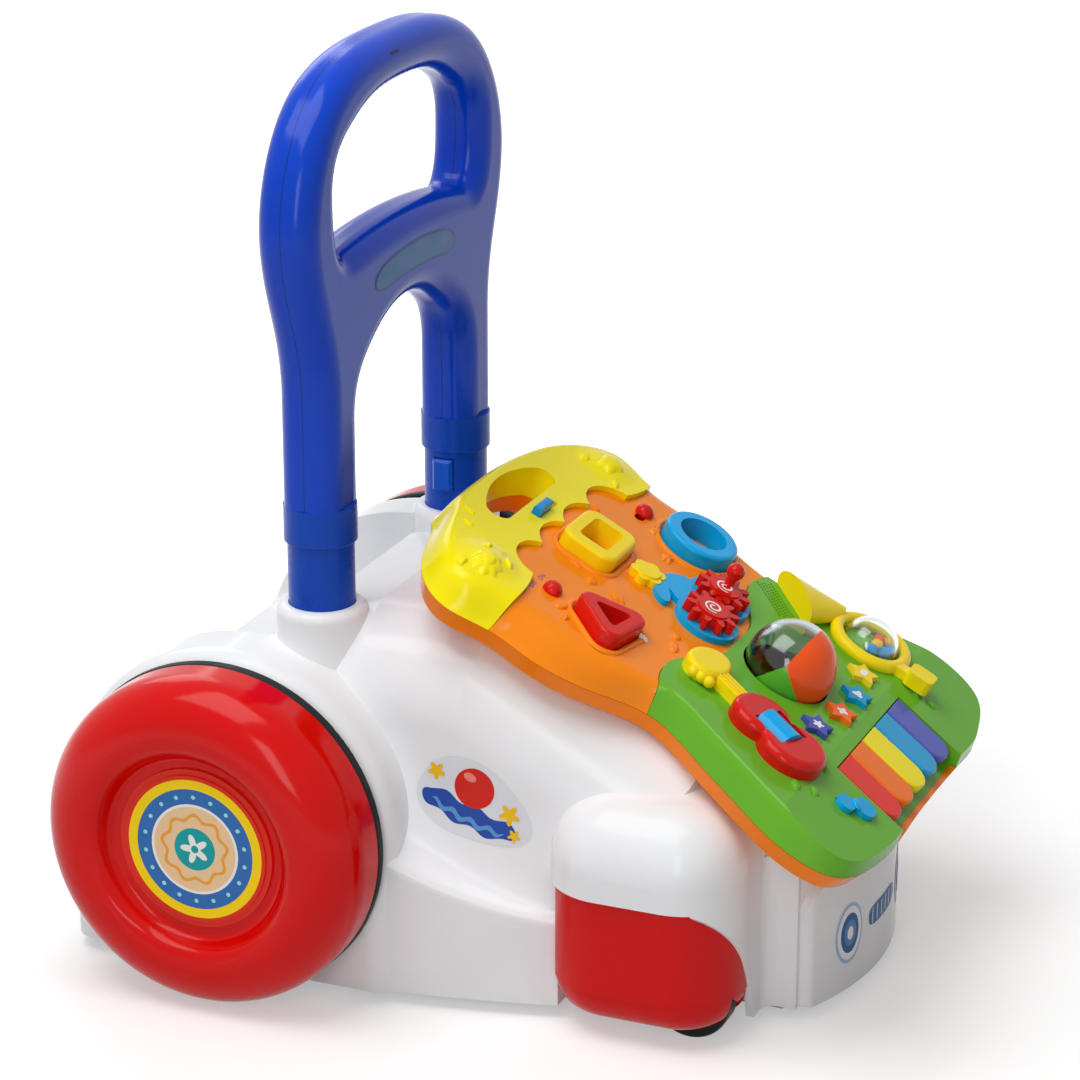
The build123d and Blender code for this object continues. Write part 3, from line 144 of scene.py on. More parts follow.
# Moulded pieces: slot -> material name, colour, roughness, peel
finishes = {
    "white_shell": ("glossMouldedAbsWhite", "#F1F2F4", 0.136, 0.023),
    "grey_base": ("mouldedPolypropyleneGrey", "#B9BCC2", 0.45, 0.16),
    "red_skirt": ("glossMouldedAbsSkirtRed", "#D80504", 0.124, 0.027),
    "red_wheel": ("glossMouldedAbsWheelRed", "#DA0604", 0.136, 0.023),
    "black_wheel": ("mouldedNylonBlack", "#1B1C1F", 0.45, 0.18),
    "blue_post": ("mouldedPolypropylenePostBlue", "#0244B4", 0.272, 0.045),
    "blue_button": ("mouldedPolypropyleneButtonBlue", "#0A54C8", 0.256, 0.045),
    "orange_base": ("mouldedAbsTrayOrange", "#FF8408", 0.161, 0.036),
    "orange_face": ("mouldedAbsFaceOrange", "#FF8C10", 0.161, 0.045),
    "yellow_grip": ("mouldedAbsGripYellow", "#FFEC06", 0.149, 0.036),
    "green_cover": ("mouldedAbsCoverGreen", "#6AB42A", 0.149, 0.036),
    "tab_blue": ("mouldedAbsTabBlue", "#1490D8", 0.161, 0.036),
    "red_toy": ("mouldedAbsToyRed", "#D81810", 0.136, 0.032),
    "blue_toy": ("mouldedAbsToyBlue", "#06AAEA", 0.149, 0.032),
    "yellow_toy": ("mouldedAbsToyYellow", "#FFE010", 0.149, 0.032),
    "orange_ball": ("mouldedAbsBallOrange", "#FF5A1C", 0.112, 0.018),
    "green_ball": ("mouldedAbsBallGreen", "#5FB83A", 0.124, 0.018),
    "star_yellow": ("softVinylStarYellow", "#FFDA30", 0.304, 0.054),
    "star_blue": ("softVinylStarBlue", "#109ED8", 0.304, 0.054),
    "star_orange": ("softVinylStarOrange", "#FF7020", 0.304, 0.054),
    "star_purple": ("softVinylStarPurple", "#4C56B4", 0.304, 0.054),
    "key_red": ("mouldedAbsKeyRed", "#F03024", 0.174, 0.036),
    "key_orange": ("mouldedAbsKeyOrange", "#FF7A1E", 0.174, 0.036),
    "key_yellow": ("mouldedAbsKeyYellow", "#FFEA14", 0.174, 0.036),
    "key_blue": ("mouldedAbsKeyBlue", "#22A4DC", 0.174, 0.036),
    "key_purple": ("mouldedAbsKeyPurple", "#5A62BE", 0.174, 0.036),
    "cell_wrap": ("printedFilmCellWrap", "#3C7A46", 0.28, 0.013),
    "circuit": ("solderResistCircuitGreen", "#1E6B3A", 0.32, 0.023),
    "speaker_black": ("feltPaperSpeakerBlack", "#232326", 0.8, 0.3),
}


tyreLook = {"colour": "#222326", "vary": 0.15, "flow": 30, "rough": 0.55, "peel": 0.35, "grain": 0.8}


def rubberTyre(name, look):
    # solid EVA rubber band: nearly matt black with a dry, fine-grained skin
    material, tree, coords = newMaterial(name)
    tint = flowTint(tree, coords, look["colour"], look["vary"], look["flow"])
    plasticShader(tree, coords, tint, look["rough"], look["peel"], look["grain"])
    return material


steelLook = {"colour": "#B9BDC3", "stretch": 0.04, "line": 0.7, "roughLow": 0.28, "roughHigh": 0.5,
             "strength": 0.1, "depth": 0.2}


def platedSteel(name, look):
    # zinc-plated drawn steel: fine lines along the bar, a dull white metal
    material, tree, coords = newMaterial(name)
    stretched = addNode(tree, "ShaderNodeMapping", {"Scale": (look["stretch"], 1, 1)}, {"Vector": coords})
    lines = noise(tree, stretched.outputs["Vector"], look["line"], 3)
    gloss = addNode(tree, "ShaderNodeMapRange", {"To Min": look["roughLow"], "To Max": look["roughHigh"]},
                    {"Value": lines})
    shader = addNode(tree, "ShaderNodeBsdfPrincipled", {"Metallic": 1.0, "Base Color": linear(look["colour"])},
                     {"Roughness": gloss.outputs["Result"],
                      "Normal": bumped(tree, lines, look["strength"], look["depth"])})
    addNode(tree, "ShaderNodeOutputMaterial", {}, {"Surface": shader.outputs["BSDF"]})
    return material


clearLook = {"rough": 0.03, "ior": 1.49, "ripple": 9, "strength": 0.04, "depth": 0.4}


def clearMoulding(name, hexColour, look):
    # clear polystyrene: sharp reflections, a slight tint and faint ripples from the mould
    material, tree, coords = newMaterial(name)
    rippled = bumped(tree, noise(tree, coords, look["ripple"], 1), look["strength"], look["depth"])
    shader = addNode(tree, "ShaderNodeBsdfPrincipled",
                     {"Transmission Weight": 1.0, "IOR": look["ior"], "Base Color": linear(hexColour),
                      "Roughness": look["rough"]}, {"Normal": rippled})
    addNode(tree, "ShaderNodeOutputMaterial", {}, {"Surface": shader.outputs["BSDF"]})
    return material


handleLook = {"colour": "#0240C2", "vary": 0.06, "rough": 0.17, "peel": 0.035, "grain": 1.6,
              "seamY": 82.0 + shiftY, "seamWide": 0.5, "seamColour": "#062C7C"}


def handlePlastic(name, look):
    # gloss moulded PP in two halves: a fine dark parting line runs round the handle where they meet
    material, tree, coords = newMaterial(name)
    tint = flowTint(tree, coords, look["colour"], look["vary"])
    along = addNode(tree, "ShaderNodeSeparateXYZ", {}, {"Vector": coords}).outputs["Y"]
    line = addNode(tree, "ShaderNodeMath", {"operation": "COMPARE", 1: look["seamY"] * mm,
                   2: look["seamWide"] * mm / 2}, {0: along}).outputs["Value"]
    tint = overprint(tree, tint, look["seamColour"], line)
    plasticShader(tree, coords, tint, look["rough"], look["peel"], look["grain"])
    return material


# Wheel badge: rings of print round the axle, sizes are radii in mm
badge = {"axleY": axleY + shiftY, "axleZ": 85.0, "vary": 0.05, "rough": 0.32, "peel": 0.03, "grain": 1.2,
         "red": "#E2301E", "yellow": "#FFDD0E", "yellowTo": 36.0, "blue": "#3470B8", "blueTo": 31.2,
         "dots": 18, "dotRing": 27.2, "dotRadius": 1.1, "dotColour": "#9FE3E6", "white": "#F4F4F0",
         "whiteTo": 23.4, "cream": "#F3CFA0", "creamTo": 22.0, "gold": "#F2A63A", "goldRing": 16.6,
         "goldWaves": 9, "goldWave": 1.3, "goldHalf": 0.9, "teal": "#12A2A6", "tealTo": 11.0, "petals": 5,
         "petalMean": 5.4, "petalSwing": 2.4, "eyeTo": 2.0}


def printedBadge(name, look):
    # screen-printed vinyl on the moulded cap: flat inks in rings, a satin film over them
    material, tree, coords = newMaterial(name)

    def maths(operation, *values):
        numbers = {i: v for i, v in enumerate(values) if isinstance(v, (int, float))}
        sockets = {i: v for i, v in enumerate(values) if i not in numbers}
        return addNode(tree, "ShaderNodeMath", {"operation": operation, **numbers}, sockets).outputs["Value"]

    def length(a, b):
        return maths("SQRT", maths("ADD", maths("MULTIPLY", a, a), maths("MULTIPLY", b, b)))

    def inside(limit):
        return maths("LESS_THAN", radius, limit)

    axes = addNode(tree, "ShaderNodeSeparateXYZ", {}, {"Vector": coords})
    y = maths("MULTIPLY_ADD", axes.outputs["Y"], 1 / mm, -look["axleY"])
    z = maths("MULTIPLY_ADD", axes.outputs["Z"], 1 / mm, -look["axleZ"])
    radius, angle = length(y, z), maths("ARCTAN2", z, y)
    share = maths("FRACT", maths("MULTIPLY", angle, look["dots"] / (2 * math.pi)))
    across = maths("MULTIPLY", maths("SUBTRACT", share, 0.5), 2 * math.pi * look["dotRing"] / look["dots"])
    away = length(across, maths("SUBTRACT", radius, look["dotRing"]))
    wave = maths("MULTIPLY", maths("SINE", maths("MULTIPLY", angle, look["goldWaves"])), look["goldWave"])
    gold = maths("COMPARE", maths("SUBTRACT", radius, wave), look["goldRing"], look["goldHalf"])
    swing = maths("COSINE", maths("MULTIPLY", angle, look["petals"]))
    petal = maths("MULTIPLY_ADD", swing, look["petalSwing"], look["petalMean"])
    layers = (("yellow", inside(look["yellowTo"])), ("blue", inside(look["blueTo"])),
              ("dotColour", maths("LESS_THAN", away, look["dotRadius"])), ("white", inside(look["whiteTo"])),
              ("cream", inside(look["creamTo"])), ("gold", gold), ("teal", inside(look["tealTo"])),
              ("white", inside(petal)), ("teal", inside(look["eyeTo"])))
    tint = flowTint(tree, coords, look["red"], look["vary"])
    for ink, mask in layers:
        tint = overprint(tree, tint, look[ink], mask)
    plasticShader(tree, coords, tint, look["rough"], look["peel"], look["grain"])
    return material


slots = {slot: moulded(*look) for slot, look in finishes.items()}
slots["black_tyre"] = rubberTyre("solidEvaRubberBlack", tyreLook)
slots["steel"] = platedSteel("zincPlatedSteel", steelLook)
slots["clear_dome"] = clearMoulding("clearPolystyreneDome", "#F2F6F8", clearLook)
slots["clear_ball"] = clearMoulding("smokyPolystyreneBall", "#C6D0D8", clearLook)
slots["white_cord"] = moulded("twistedNylonCordWhite", "#EDEDEA", 0.6, 0.4, 0.8)
slots["blue_handle"] = handlePlastic("glossMouldedPolypropyleneHandleBlue", handleLook)
slots["wheel_print"] = printedBadge("printedVinylWheelBadge", badge)
for part in frame["record"]["subparts"]:
    node = nodes[part["node"]]
    node.data.materials.clear()
    node.data.materials.append(slots[part["material_slot"]])
print("finishes:", len(slots))


def grid(rows, columns):
    return np.meshgrid(rows, columns, indexing="ij")


def around(count):
    return np.linspace(0, 2 * np.pi, count, endpoint=False)    # angles once round


def polarGrid(rings, spokes):
    # s runs 0..1 from the middle outwards, t once round
    return grid(np.linspace(0, 1, rings), around(spokes))


def bandGrid(rows, columns):
    # a runs -1..1 along the band, closer spaced at its ends, and b -1..1 across it
    return grid(np.sin(np.linspace(-np.pi / 2, np.pi / 2, rows)), np.linspace(-1, 1, columns))


def squircle(t, power):
    # polar radius of |x|^power + |y|^power = 1
    return (np.abs(np.cos(t)) ** power + np.abs(np.sin(t)) ** power) ** (-1 / power)


mergeWithin = 1e-6    # metres


def putSurface(name, points, body, material, wrap=True, lift=None):
    # points: (..., rows, columns, 3) in metres, one sheet or a stack of equal sheets; quads join neighbours,
    # columns close on themselves when wrap is set, and doubled points at poles are merged;
    # lift (mm) is kept per point for pressOnto, which swells a relief by it
    rows, columns = points.shape[-3:-1]
    index = np.arange(rows * columns).reshape(rows, columns)
    if wrap:
        index = np.concatenate([index, index[:, :1]], 1)
    quad = np.stack([index[:-1, :-1], index[1:, :-1], index[1:, 1:], index[:-1, 1:]], -1).reshape(-1, 4)
    sheets = points.reshape(-1, rows * columns, 3)
    faces = (quad[None] + np.arange(len(sheets))[:, None, None] * rows * columns).reshape(-1, 4)
    mesh = bpy.data.meshes.new(name)
    mesh.from_pydata(sheets.reshape(-1, 3).tolist(), [], faces.tolist())
    if lift is not None:
        mesh.attributes.new("lift", "FLOAT", "POINT").data.foreach_set("value", lift.ravel() * mm)
    work = bmesh.new()
    work.from_mesh(mesh)
    bmesh.ops.remove_doubles(work, verts=work.verts, dist=mergeWithin)
    work.to_mesh(mesh)
    work.free()
    mesh.polygons.foreach_set("use_smooth", np.ones(len(mesh.polygons), bool))
    mesh.materials.append(material)
    piece = bpy.data.objects.new(name, mesh)
    bpy.context.scene.collection.objects.link(piece)
    if body:
        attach(piece, body)
    return piece


boardPlane = {"tilt": math.radians(27.5), "height": 218.3}   # sloping face of the activity board
boardNormal = np.array([0, -math.sin(boardPlane["tilt"]), math.cos(boardPlane["tilt"])])


def fromBoard(x, y, z):
    # board frame (x across, y up the slope, z off the face, mm) to the frame in metres
    c, s = math.cos(boardPlane["tilt"]), math.sin(boardPlane["tilt"])
    x, y, z = np.broadcast_arrays(x, y, z)
    return np.stack([x, y * c - z * s + shiftY, boardPlane["height"] + y * s + z * c], -1) * mm


def pressOnto(piece, node, axis, height):
    # presses a flat print along one axis onto a moulding and leaves it `height` mm proud,
    # then swells a relief off the board by its lift
    wrap = piece.modifiers.new("press", "SHRINKWRAP")
    wrap.target, wrap.wrap_method, wrap.offset = nodes[node], "PROJECT", height * mm
    setattr(wrap, "use_project_" + axis, True)
    wrap.use_negative_direction = wrap.use_positive_direction = True
    pressed = bpy.data.meshes.new_from_object(piece.evaluated_get(bpy.context.evaluated_depsgraph_get()))
    piece.modifiers.clear()
    piece.data = pressed
    if "lift" in pressed.attributes:
        place, swell = np.empty(len(pressed.vertices) * 3), np.empty(len(pressed.vertices))
        pressed.vertices.foreach_get("co", place)
        pressed.attributes["lift"].data.foreach_get("value", swell)
        place = place.reshape(-1, 3) + swell[:, None] * boardNormal
        pressed.vertices.foreach_set("co", place.ravel())
        pressed.attributes.remove(pressed.attributes["lift"])


def inks(name, hexColour, rough=0.34):
    # screen print on a thin vinyl film: flat ink, satin, only faintly uneven
    return moulded("printedVinyl" + name, hexColour, rough, 0.03, 1.2, 0.03)


# Name plate on the handle's bridge, left bare: an arched band with rounded ends; layer -> inset, proud, colour
plate = {"half": 47.0, "low": 337.0, "lowDrop": 3.5, "high": 351.5, "highDrop": 5.0, "faceY": 66.5 + shiftY,
         "endPower": 9, "layers": {"Rim": (0, 0.12, "#0C3C8E"), "Fill": (1.1, 0.2, "#2A6AA6")}}


def namePlate():
    # x = half * a; z runs from the lower to the upper arc; sqrt(1 - |a|^9) closes the ends
    a, b = bandGrid(41, 9)
    low, high = plate["low"] - plate["lowDrop"] * a ** 2, plate["high"] - plate["highDrop"] * a ** 2
    for layer, (inset, proud, colour) in plate["layers"].items():
        half = ((high - low) / 2 - inset) * (1 - np.abs(a) ** plate["endPower"]) ** 0.5
        points = np.stack([(plate["half"] - inset) * a, np.full_like(a, plate["faceY"] - proud),
                           (low + high) / 2 + half * b], -1)
        putSurface("plate" + layer, points * mm, "handle", inks("Plate" + layer, colour), False)


namePlate()


# Side sticker: a red ball rolling on a blue wave with yellow stars, on a pale film
sticker = {"y": -9.0, "z": 104.0, "lean": 20.0, "outside": 150.0, "long": 31.0, "high": 20.0, "bulge": 0.07,
           "filmRough": 0.22, "sag": 2.0, "ripple": 1.2, "endPower": 5, "starSwing": 0.36,
           "colours": {"Film": "#E2E5EA", "Wave": "#2A4FA8", "Crest": "#5E97D6", "Ball": "#D8281E",
                       "Shine": "#F0887C", "Star": "#F6C21A"},
           "proud": {"Film": 0.12, "Wave": 0.20, "Crest": 0.28, "Ball": 0.28, "Shine": 0.36, "Star": 0.36},
           "waves": {"Wave": (26, -6.0, 5.4, 3), "Crest": (20, -8.2, 1.3, 4)},   # half long, q, half high, n
           "spots": {"Ball": (-2, 7, 10.5, 10.5), "Shine": (-6, 11.5, 3.4, 2.2)},   # p, q, half widths
           "stars": ((-23, 6, 3.6), (19, 3, 4.2), (25, -6, 2.6))}   # p, q, size
stickerInks = {kind: inks("Sticker" + kind, colour, sticker["filmRough"]) if kind == "Film"
               else inks("Sticker" + kind, colour) for kind, colour in sticker["colours"].items()}


def sideSticker(side, tag):
    lean = math.radians(sticker["lean"])

    def lay(kind, p, q, number="", wrap=True):
        # p runs forwards along the sticker, q across it; leaned, then pressed onto the body's side
        y = sticker["y"] - p * math.cos(lean) - q * math.sin(lean) + shiftY
        z = sticker["z"] - p * math.sin(lean) + q * math.cos(lean)
        points = np.stack([np.full_like(p, side * sticker["outside"]), y, z], -1) * mm
        if side > 0:
            points = points[..., ::-1, :]
        name = f"sticker{kind}{number}{tag}"
        piece = putSurface(name, points, "walker", stickerInks[kind], wrap)
        pressOnto(piece, "body_shell", "x", sticker["proud"][kind])

    s, t = polarGrid(7, 48)
    blob = 1 + sticker["bulge"] * np.cos(3 * t + 0.6)
    lay("Film", sticker["long"] * s * np.cos(t) * blob, sticker["high"] * s * np.sin(t) * blob)
    # waves: p = long * a; the middle line sags and swells by sin(n pi a), sqrt(1 - |a|^5) closes both ends
    a, b = bandGrid(61, 7)
    ends = np.sqrt(np.clip(1 - np.abs(a) ** sticker["endPower"], 0, 1))
    for kind, (long, q, half, crests) in sticker["waves"].items():
        line = q + sticker["ripple"] * np.sin(crests * np.pi * a + 0.5) - sticker["sag"] * (1 - a ** 2)
        lay(kind, long * a, line + half * b * ends, wrap=False)
    for kind, (p, q, wide, high) in sticker["spots"].items():
        lay(kind, p + wide * s * np.cos(t), q + high * s * np.sin(t))
    star = s * (1 + sticker["starSwing"] * np.cos(5 * t))
    for i, (p, q, size) in enumerate(sticker["stars"]):
        lay("Star", p + size * star * np.cos(t), q + size * star * np.sin(t), i + 1)


sideSticker(-1, "Right")
sideSticker(1, "Left")
print("plate and stickers laid")


# Print on the bowed bumper: ringed headlamps and a barred grille, the rings laid one over another by a step
bumper = {"radius": 151.0, "centreY": -34.0 + shiftY, "lampX": 38.0, "lampZ": 37.0, "lampWide": 11.5,
          "lampHigh": 16.0, "proud": 0.12, "step": 0.07, "grilleHalf": 19.0, "grilleHigh": 5.6, "bars": 6,
          "barHalf": 0.9, "barShort": 1.2, "barProud": 0.2, "barInset": 1, "boxPower": 4,
          "deep": "#24568F", "pale": "#A9C3DD", "white": "#F2F5F8", "mid": "#4D84BC",
          "rings": ((1.0, "pale"), (0.88, "white"), (0.66, "deep"), (0.44, "mid"), (0.22, "white"))}
bumperInks = {ink: inks("Bumper" + ink.capitalize(), bumper[ink]) for ink in ("deep", "pale", "white", "mid")}


def onBumper(name, x, z, ink, proud):
    # x along the bow, z up: y = centre - sqrt(R^2 - x^2)
    radius = bumper["radius"] + proud
    points = np.stack([x, bumper["centreY"] - np.sqrt(radius ** 2 - x ** 2), z], -1)
    putSurface(name, points * mm, "walker", bumperInks[ink])


def bumperPrint():
    s, t = polarGrid(6, 40)
    for side, tag in ((-1, "Right"), (1, "Left")):
        for i, (size, ink) in enumerate(bumper["rings"]):
            x = side * bumper["lampX"] + bumper["lampWide"] * size * s * np.cos(t)
            z = bumper["lampZ"] + bumper["lampHigh"] * size * s * np.sin(t)
            onBumper(f"lampRing{i + 1}{tag}", x, z, ink, bumper["proud"] + bumper["step"] * i)
    # grille: a squarish field, bars of the same outline across it
    box = s * squircle(t, bumper["boxPower"])
    onBumper("grilleField", bumper["grilleHalf"] * box * np.cos(t),
             bumper["lampZ"] + bumper["grilleHigh"] * box * np.sin(t), "deep", bumper["proud"])
    barHigh = bumper["grilleHigh"] - bumper["barShort"]
    places = np.linspace(-1, 1, bumper["bars"] * 2 + 1)[1::2] * (bumper["grilleHalf"] - bumper["barInset"])
    for i, place in enumerate(places):
        onBumper(f"grilleBar{i + 1}", place + bumper["barHalf"] * box * np.cos(t),
                 bumper["lampZ"] + barHigh * box * np.sin(t), "pale", bumper["barProud"])


bumperPrint()
print("bumper printed")


# Raised ornaments moulded into the board: moulding -> slot, height over the board's plane, rows of
# x, y, size, stretch, turn (degrees), lobes, lobe depth, swell; all lengths in mm
reliefs = {
    "panel_middle": ("orange_face", 0.6, [
        (28, -23.5, 4.6, 1.5, 25, 3, 0.14, 1.7), (36, -17, 2.2, 1.6, 60, 2, 0.1, 1.4),
        (51, -47, 3.4, 1.5, -20, 3, 0.15, 1.5), (-68, -45, 3.6, 1.5, -25, 2, 0.1, 1.5),
        (-76, -50, 2.4, 1.2, 0, 5, 0.16, 1.4), (-26, -33, 2.2, 2.6, 75, 2, 0.06, 1.5),
        (-31, -45, 3.0, 1.3, 40, 3, 0.16, 1.5), (-30, -60, 4.0, 1.7, 70, 4, 0.12, 1.7),
        (-40, -98, 3.6, 1.5, 20, 2, 0.12, 1.5), (-30, -95, 2.4, 1.0, 0, 0, 0.0, 1.5),
        (46, -97, 3.4, 1.6, 35, 3, 0.14, 1.5), (34, -62, 3.6, 1.3, 10, 5, 0.18, 1.5)]),
    "panel_grip": ("yellow_grip", 5.0, [
        (-83, -5, 8.4, 1.15, 15, 8, 0.10, 2), (-83, -5, 4.4, 1.1, 15, 0, 0.0, 3.3),
        (-71, -12, 2.6, 1.7, 40, 2, 0.1, 1.8), (-92, 5, 2.8, 1.4, -30, 3, 0.14, 1.8),
        (-68, 2, 2.2, 1.2, 0, 5, 0.16, 1.7), (76, -5, 7.4, 1.3, -10, 5, 0.14, 2),
        (64, -14, 2.6, 1.6, 30, 2, 0.1, 1.8), (70, 8, 3.0, 1.7, 20, 3, 0.14, 1.8),
        (-57, 18, 2.0, 2.4, 70, 2, 0.08, 1.5), (-46, 23, 2.0, 2.4, 80, 2, 0.08, 1.5)]),
    "panel_front_cover": ("green_cover", 2.4, [
        (-88, -187, 3.0, 1.5, 35, 2, 0.1, 1.8), (-81, -195, 2.3, 1.3, 50, 2, 0.1, 1.7),
        (-57, -192, 2.6, 1.4, 40, 2, 0.1, 1.8), (64, -199, 2.2, 2.6, 62, 2, 0.1, 1.5),
        (67, -209, 2.2, 2.2, 95, 3, 0.14, 1.5)]),
}


# Puffed crowns of the grip's two lobes: middle x, y and half widths
crowns = {"high": 3.4, "face": 5.0, "sink": 0.02, "at": ((-76.0, -3.0, 19.0, 19.0), (77.0, -3.0, 17.0, 19.0))}


def crownHeight(x, y):
    # h * (1 - rho^2)^2 inside each ellipse, level with the grip at its rim
    rise = [1 - ((x - x0) / a) ** 2 - ((y - y0) / b) ** 2 for x0, y0, a, b in crowns["at"]]
    return crowns["high"] * np.clip(np.max(rise, 0), 0, 1) ** 2


def gripCrowns():
    s, t = polarGrid(20, 72)
    x0, y0, a, b = np.array(crowns["at"]).T[..., None, None]
    x, y = x0 + a * s * np.cos(t), y0 + b * s * np.sin(t)
    points = fromBoard(x, y, crowns["face"])
    piece = putSurface("gripCrowns", points, "board", slots["yellow_grip"],
                       lift=crownHeight(x, y) - crowns["sink"])
    pressOnto(piece, "panel_grip", "z", 0)


reliefSink = 0.05    # how far a relief's edge is sunk into its moulding


def mouldedReliefs():
    # outline r(t) = size * (1 + depth * cos(lobes * t)), stretched and turned; the swell is h * (1 - s^5)
    s, t = polarGrid(9, 56)
    for node, (slot, height, rows) in reliefs.items():
        x0, y0, size, stretch, turn, lobes, depth, swell = np.array(rows, float).T[..., None, None]
        r = size * s * (1 + depth * np.cos(lobes * t))
        p, q, turn = r * stretch ** 0.5 * np.cos(t), r / stretch ** 0.5 * np.sin(t), np.radians(turn)
        x, y = x0 + p * np.cos(turn) - q * np.sin(turn), y0 + p * np.sin(turn) + q * np.cos(turn)
        points = fromBoard(x, y, height)
        lift = swell * (1 - s ** 5) - reliefSink + (crownHeight(x, y) if node == "panel_grip" else 0)
        piece = putSurface(node + "Reliefs", points, "board", slots[slot], lift=lift)
        pressOnto(piece, node, "z", 0)


gripCrowns()
mouldedReliefs()


# Raised lips round the three block recesses. Square: middle, half widths of its straight core, corner radius;
# circle: middle, radius; triangle: middle, radius of its core's corners, corner radius, turn in degrees
lips = {"wide": 3.2, "high": 1.5, "gap": 0.7, "sink": 0.1, "square": (0, -33, 11.0, 7.5, 8.0),
        "circle": (62, -68, 20.0), "triangle": (-62, -68, 12.0, 7.0, 82)}


def recessLips():
    # a half-oval lip: across = wide * u, up = high * sqrt(1 - (2u - 1)^2), carried round the recess's outline
    u, t = grid(np.linspace(0, 1, 9), around(120) + 1e-4)
    off = lips["gap"] + lips["wide"] * u
    up = lips["high"] * np.sqrt(np.clip(1 - (2 * u - 1) ** 2, 0, 1)) - lips["sink"]

    def carried(x, y, radius):
        return fromBoard(x + (radius + off) * np.cos(t), y + (radius + off) * np.sin(t), up)

    x, y, halfWide, halfLong, corner = lips["square"]
    square = carried(x + np.sign(np.cos(t)) * halfWide, y + np.sign(np.sin(t)) * halfLong, corner)
    circle = carried(*lips["circle"])
    x, y, core, corner, turn = lips["triangle"]
    third, turn = 2 * np.pi / 3, np.radians(turn)
    tip = turn + np.round((t - turn) / third) * third
    triangle = carried(x + core * np.cos(tip), y + core * np.sin(tip), corner)
    putSurface("recessLips", np.stack([square, circle, triangle]), "board", slots["orange_face"])


recessLips()


# White print on the toys: lobed marks on the stars, a spiral on each gear's hub
marks = {"ink": "#F4F4F2", "starTop": 4.68, "starSize": 2.5, "starSwing": 0.28, "gearTop": 10.56,
         "gearAt": ((-1.0, -100.0), (24.25, -96.45)), "spiralFrom": 1.2, "spiralTo": 5.2, "turns": 1.6,
         "spiralWide": 1.2, "taperFrom": 0.12, "taperSpan": 0.76}
starPlaces = ((41.5, -176.0), (18.5, -181.0), (-5.5, -181.0), (-30.5, -176.5))


def toyPrints():
    white = inks("ToyWhite", marks["ink"])
    s, t = polarGrid(5, 48)
    for i, (x, y) in enumerate(starPlaces):
        r = marks["starSize"] * s * (1 + marks["starSwing"] * np.cos((i + 2) * t))
        points = fromBoard(x + r * np.cos(t), y + r * np.sin(t), marks["starTop"])
        putSurface(f"starMark{i + 1}", points, f"star_button_{i + 1}", white)
    # spiral ribbon: r grows evenly from its inner to its outer end, the width tapers towards both
    u, v = grid(np.linspace(0, 1, 60), np.linspace(-1, 1, 4))
    half = marks["spiralWide"] / 2 * np.sin(np.pi * (marks["taperFrom"] + marks["taperSpan"] * u)) ** 0.5
    r = marks["spiralFrom"] + (marks["spiralTo"] - marks["spiralFrom"]) * u + v * half
    turn = 2 * np.pi * marks["turns"] * u
    for (x, y), body in zip(marks["gearAt"], ("plain_gear", "crank_gear")):
        points = fromBoard(x + r * np.cos(turn), y + r * np.sin(turn), marks["gearTop"])
        putSurface(body + "Spiral", points[:, ::-1], body, white, False)


toyPrints()


# Words beside the power switch
switchWords = {"ink": "#4B54A8", "size": 4.0, "lift": 0.08,
               "words": (("OFF", -69.5, -28.5), ("ON", -58.5, -28.5))}


def printWord(word, x, y):
    letters = bpy.data.curves.new("letters" + word, "FONT")
    letters.body, letters.size, letters.resolution_u = word, switchWords["size"], 6
    holder = bpy.data.objects.new("letters" + word, letters)
    mesh = bpy.data.meshes.new_from_object(holder)
    place = np.empty(len(mesh.vertices) * 3)
    mesh.vertices.foreach_get("co", place)
    flat = place.reshape(-1, 3)
    mesh.vertices.foreach_set("co", fromBoard(x + flat[:, 0], y + flat[:, 1], switchWords["lift"]).ravel())
    bpy.data.objects.remove(holder)
    mesh.materials.clear()
    mesh.materials.append(inks("Switch" + word, switchWords["ink"]))
    piece = bpy.data.objects.new("switchWord" + word, mesh)
    bpy.context.scene.collection.objects.link(piece)
    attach(piece, "board")


for word in switchWords["words"]:
    printWord(*word)
print("board ornaments and prints done")


# Sound holes of the speaker beside the trumpet's bell: rows of small flat dark green discs, painted shade
# standing in for the shaded insides of the holes
soundHoles = {"from": (71.5, -109.0), "to": (53.5, -130.6), "rows": 5, "perRow": 14, "rowGap": 2.1,
              "radius": 0.55, "face": 2.4, "proud": 0.06, "colour": "#2E5A16", "rough": 0.6}


def speakerHolesPaintedShade():
    s, t = polarGrid(2, 10)
    start, end = np.array(soundHoles["from"]), np.array(soundHoles["to"])
    along = (end - start) / np.hypot(*(end - start))
    aside = np.array([along[1], -along[0]])
    i, j = np.meshgrid(np.arange(soundHoles["perRow"]), np.arange(soundHoles["rows"]), indexing="ij")
    share = ((i + 0.5 * (j % 2)) / soundHoles["perRow"]).ravel()
    middle = start + share[:, None] * (end - start) + (j.ravel() * soundHoles["rowGap"])[:, None] * aside
    x = middle[:, 0, None, None] + soundHoles["radius"] * s * np.cos(t)
    y = middle[:, 1, None, None] + soundHoles["radius"] * s * np.sin(t)
    # the discs' dark green is painted shade of the holes, laid on as a flat film
    ink = inks("SpeakerHolesPaintedShade", soundHoles["colour"], soundHoles["rough"])
    piece = putSurface("speakerHolesPaintedShade", fromBoard(x, y, soundHoles["face"]), "board", ink)
    pressOnto(piece, "panel_front_cover", "z", soundHoles["proud"])


speakerHolesPaintedShade()


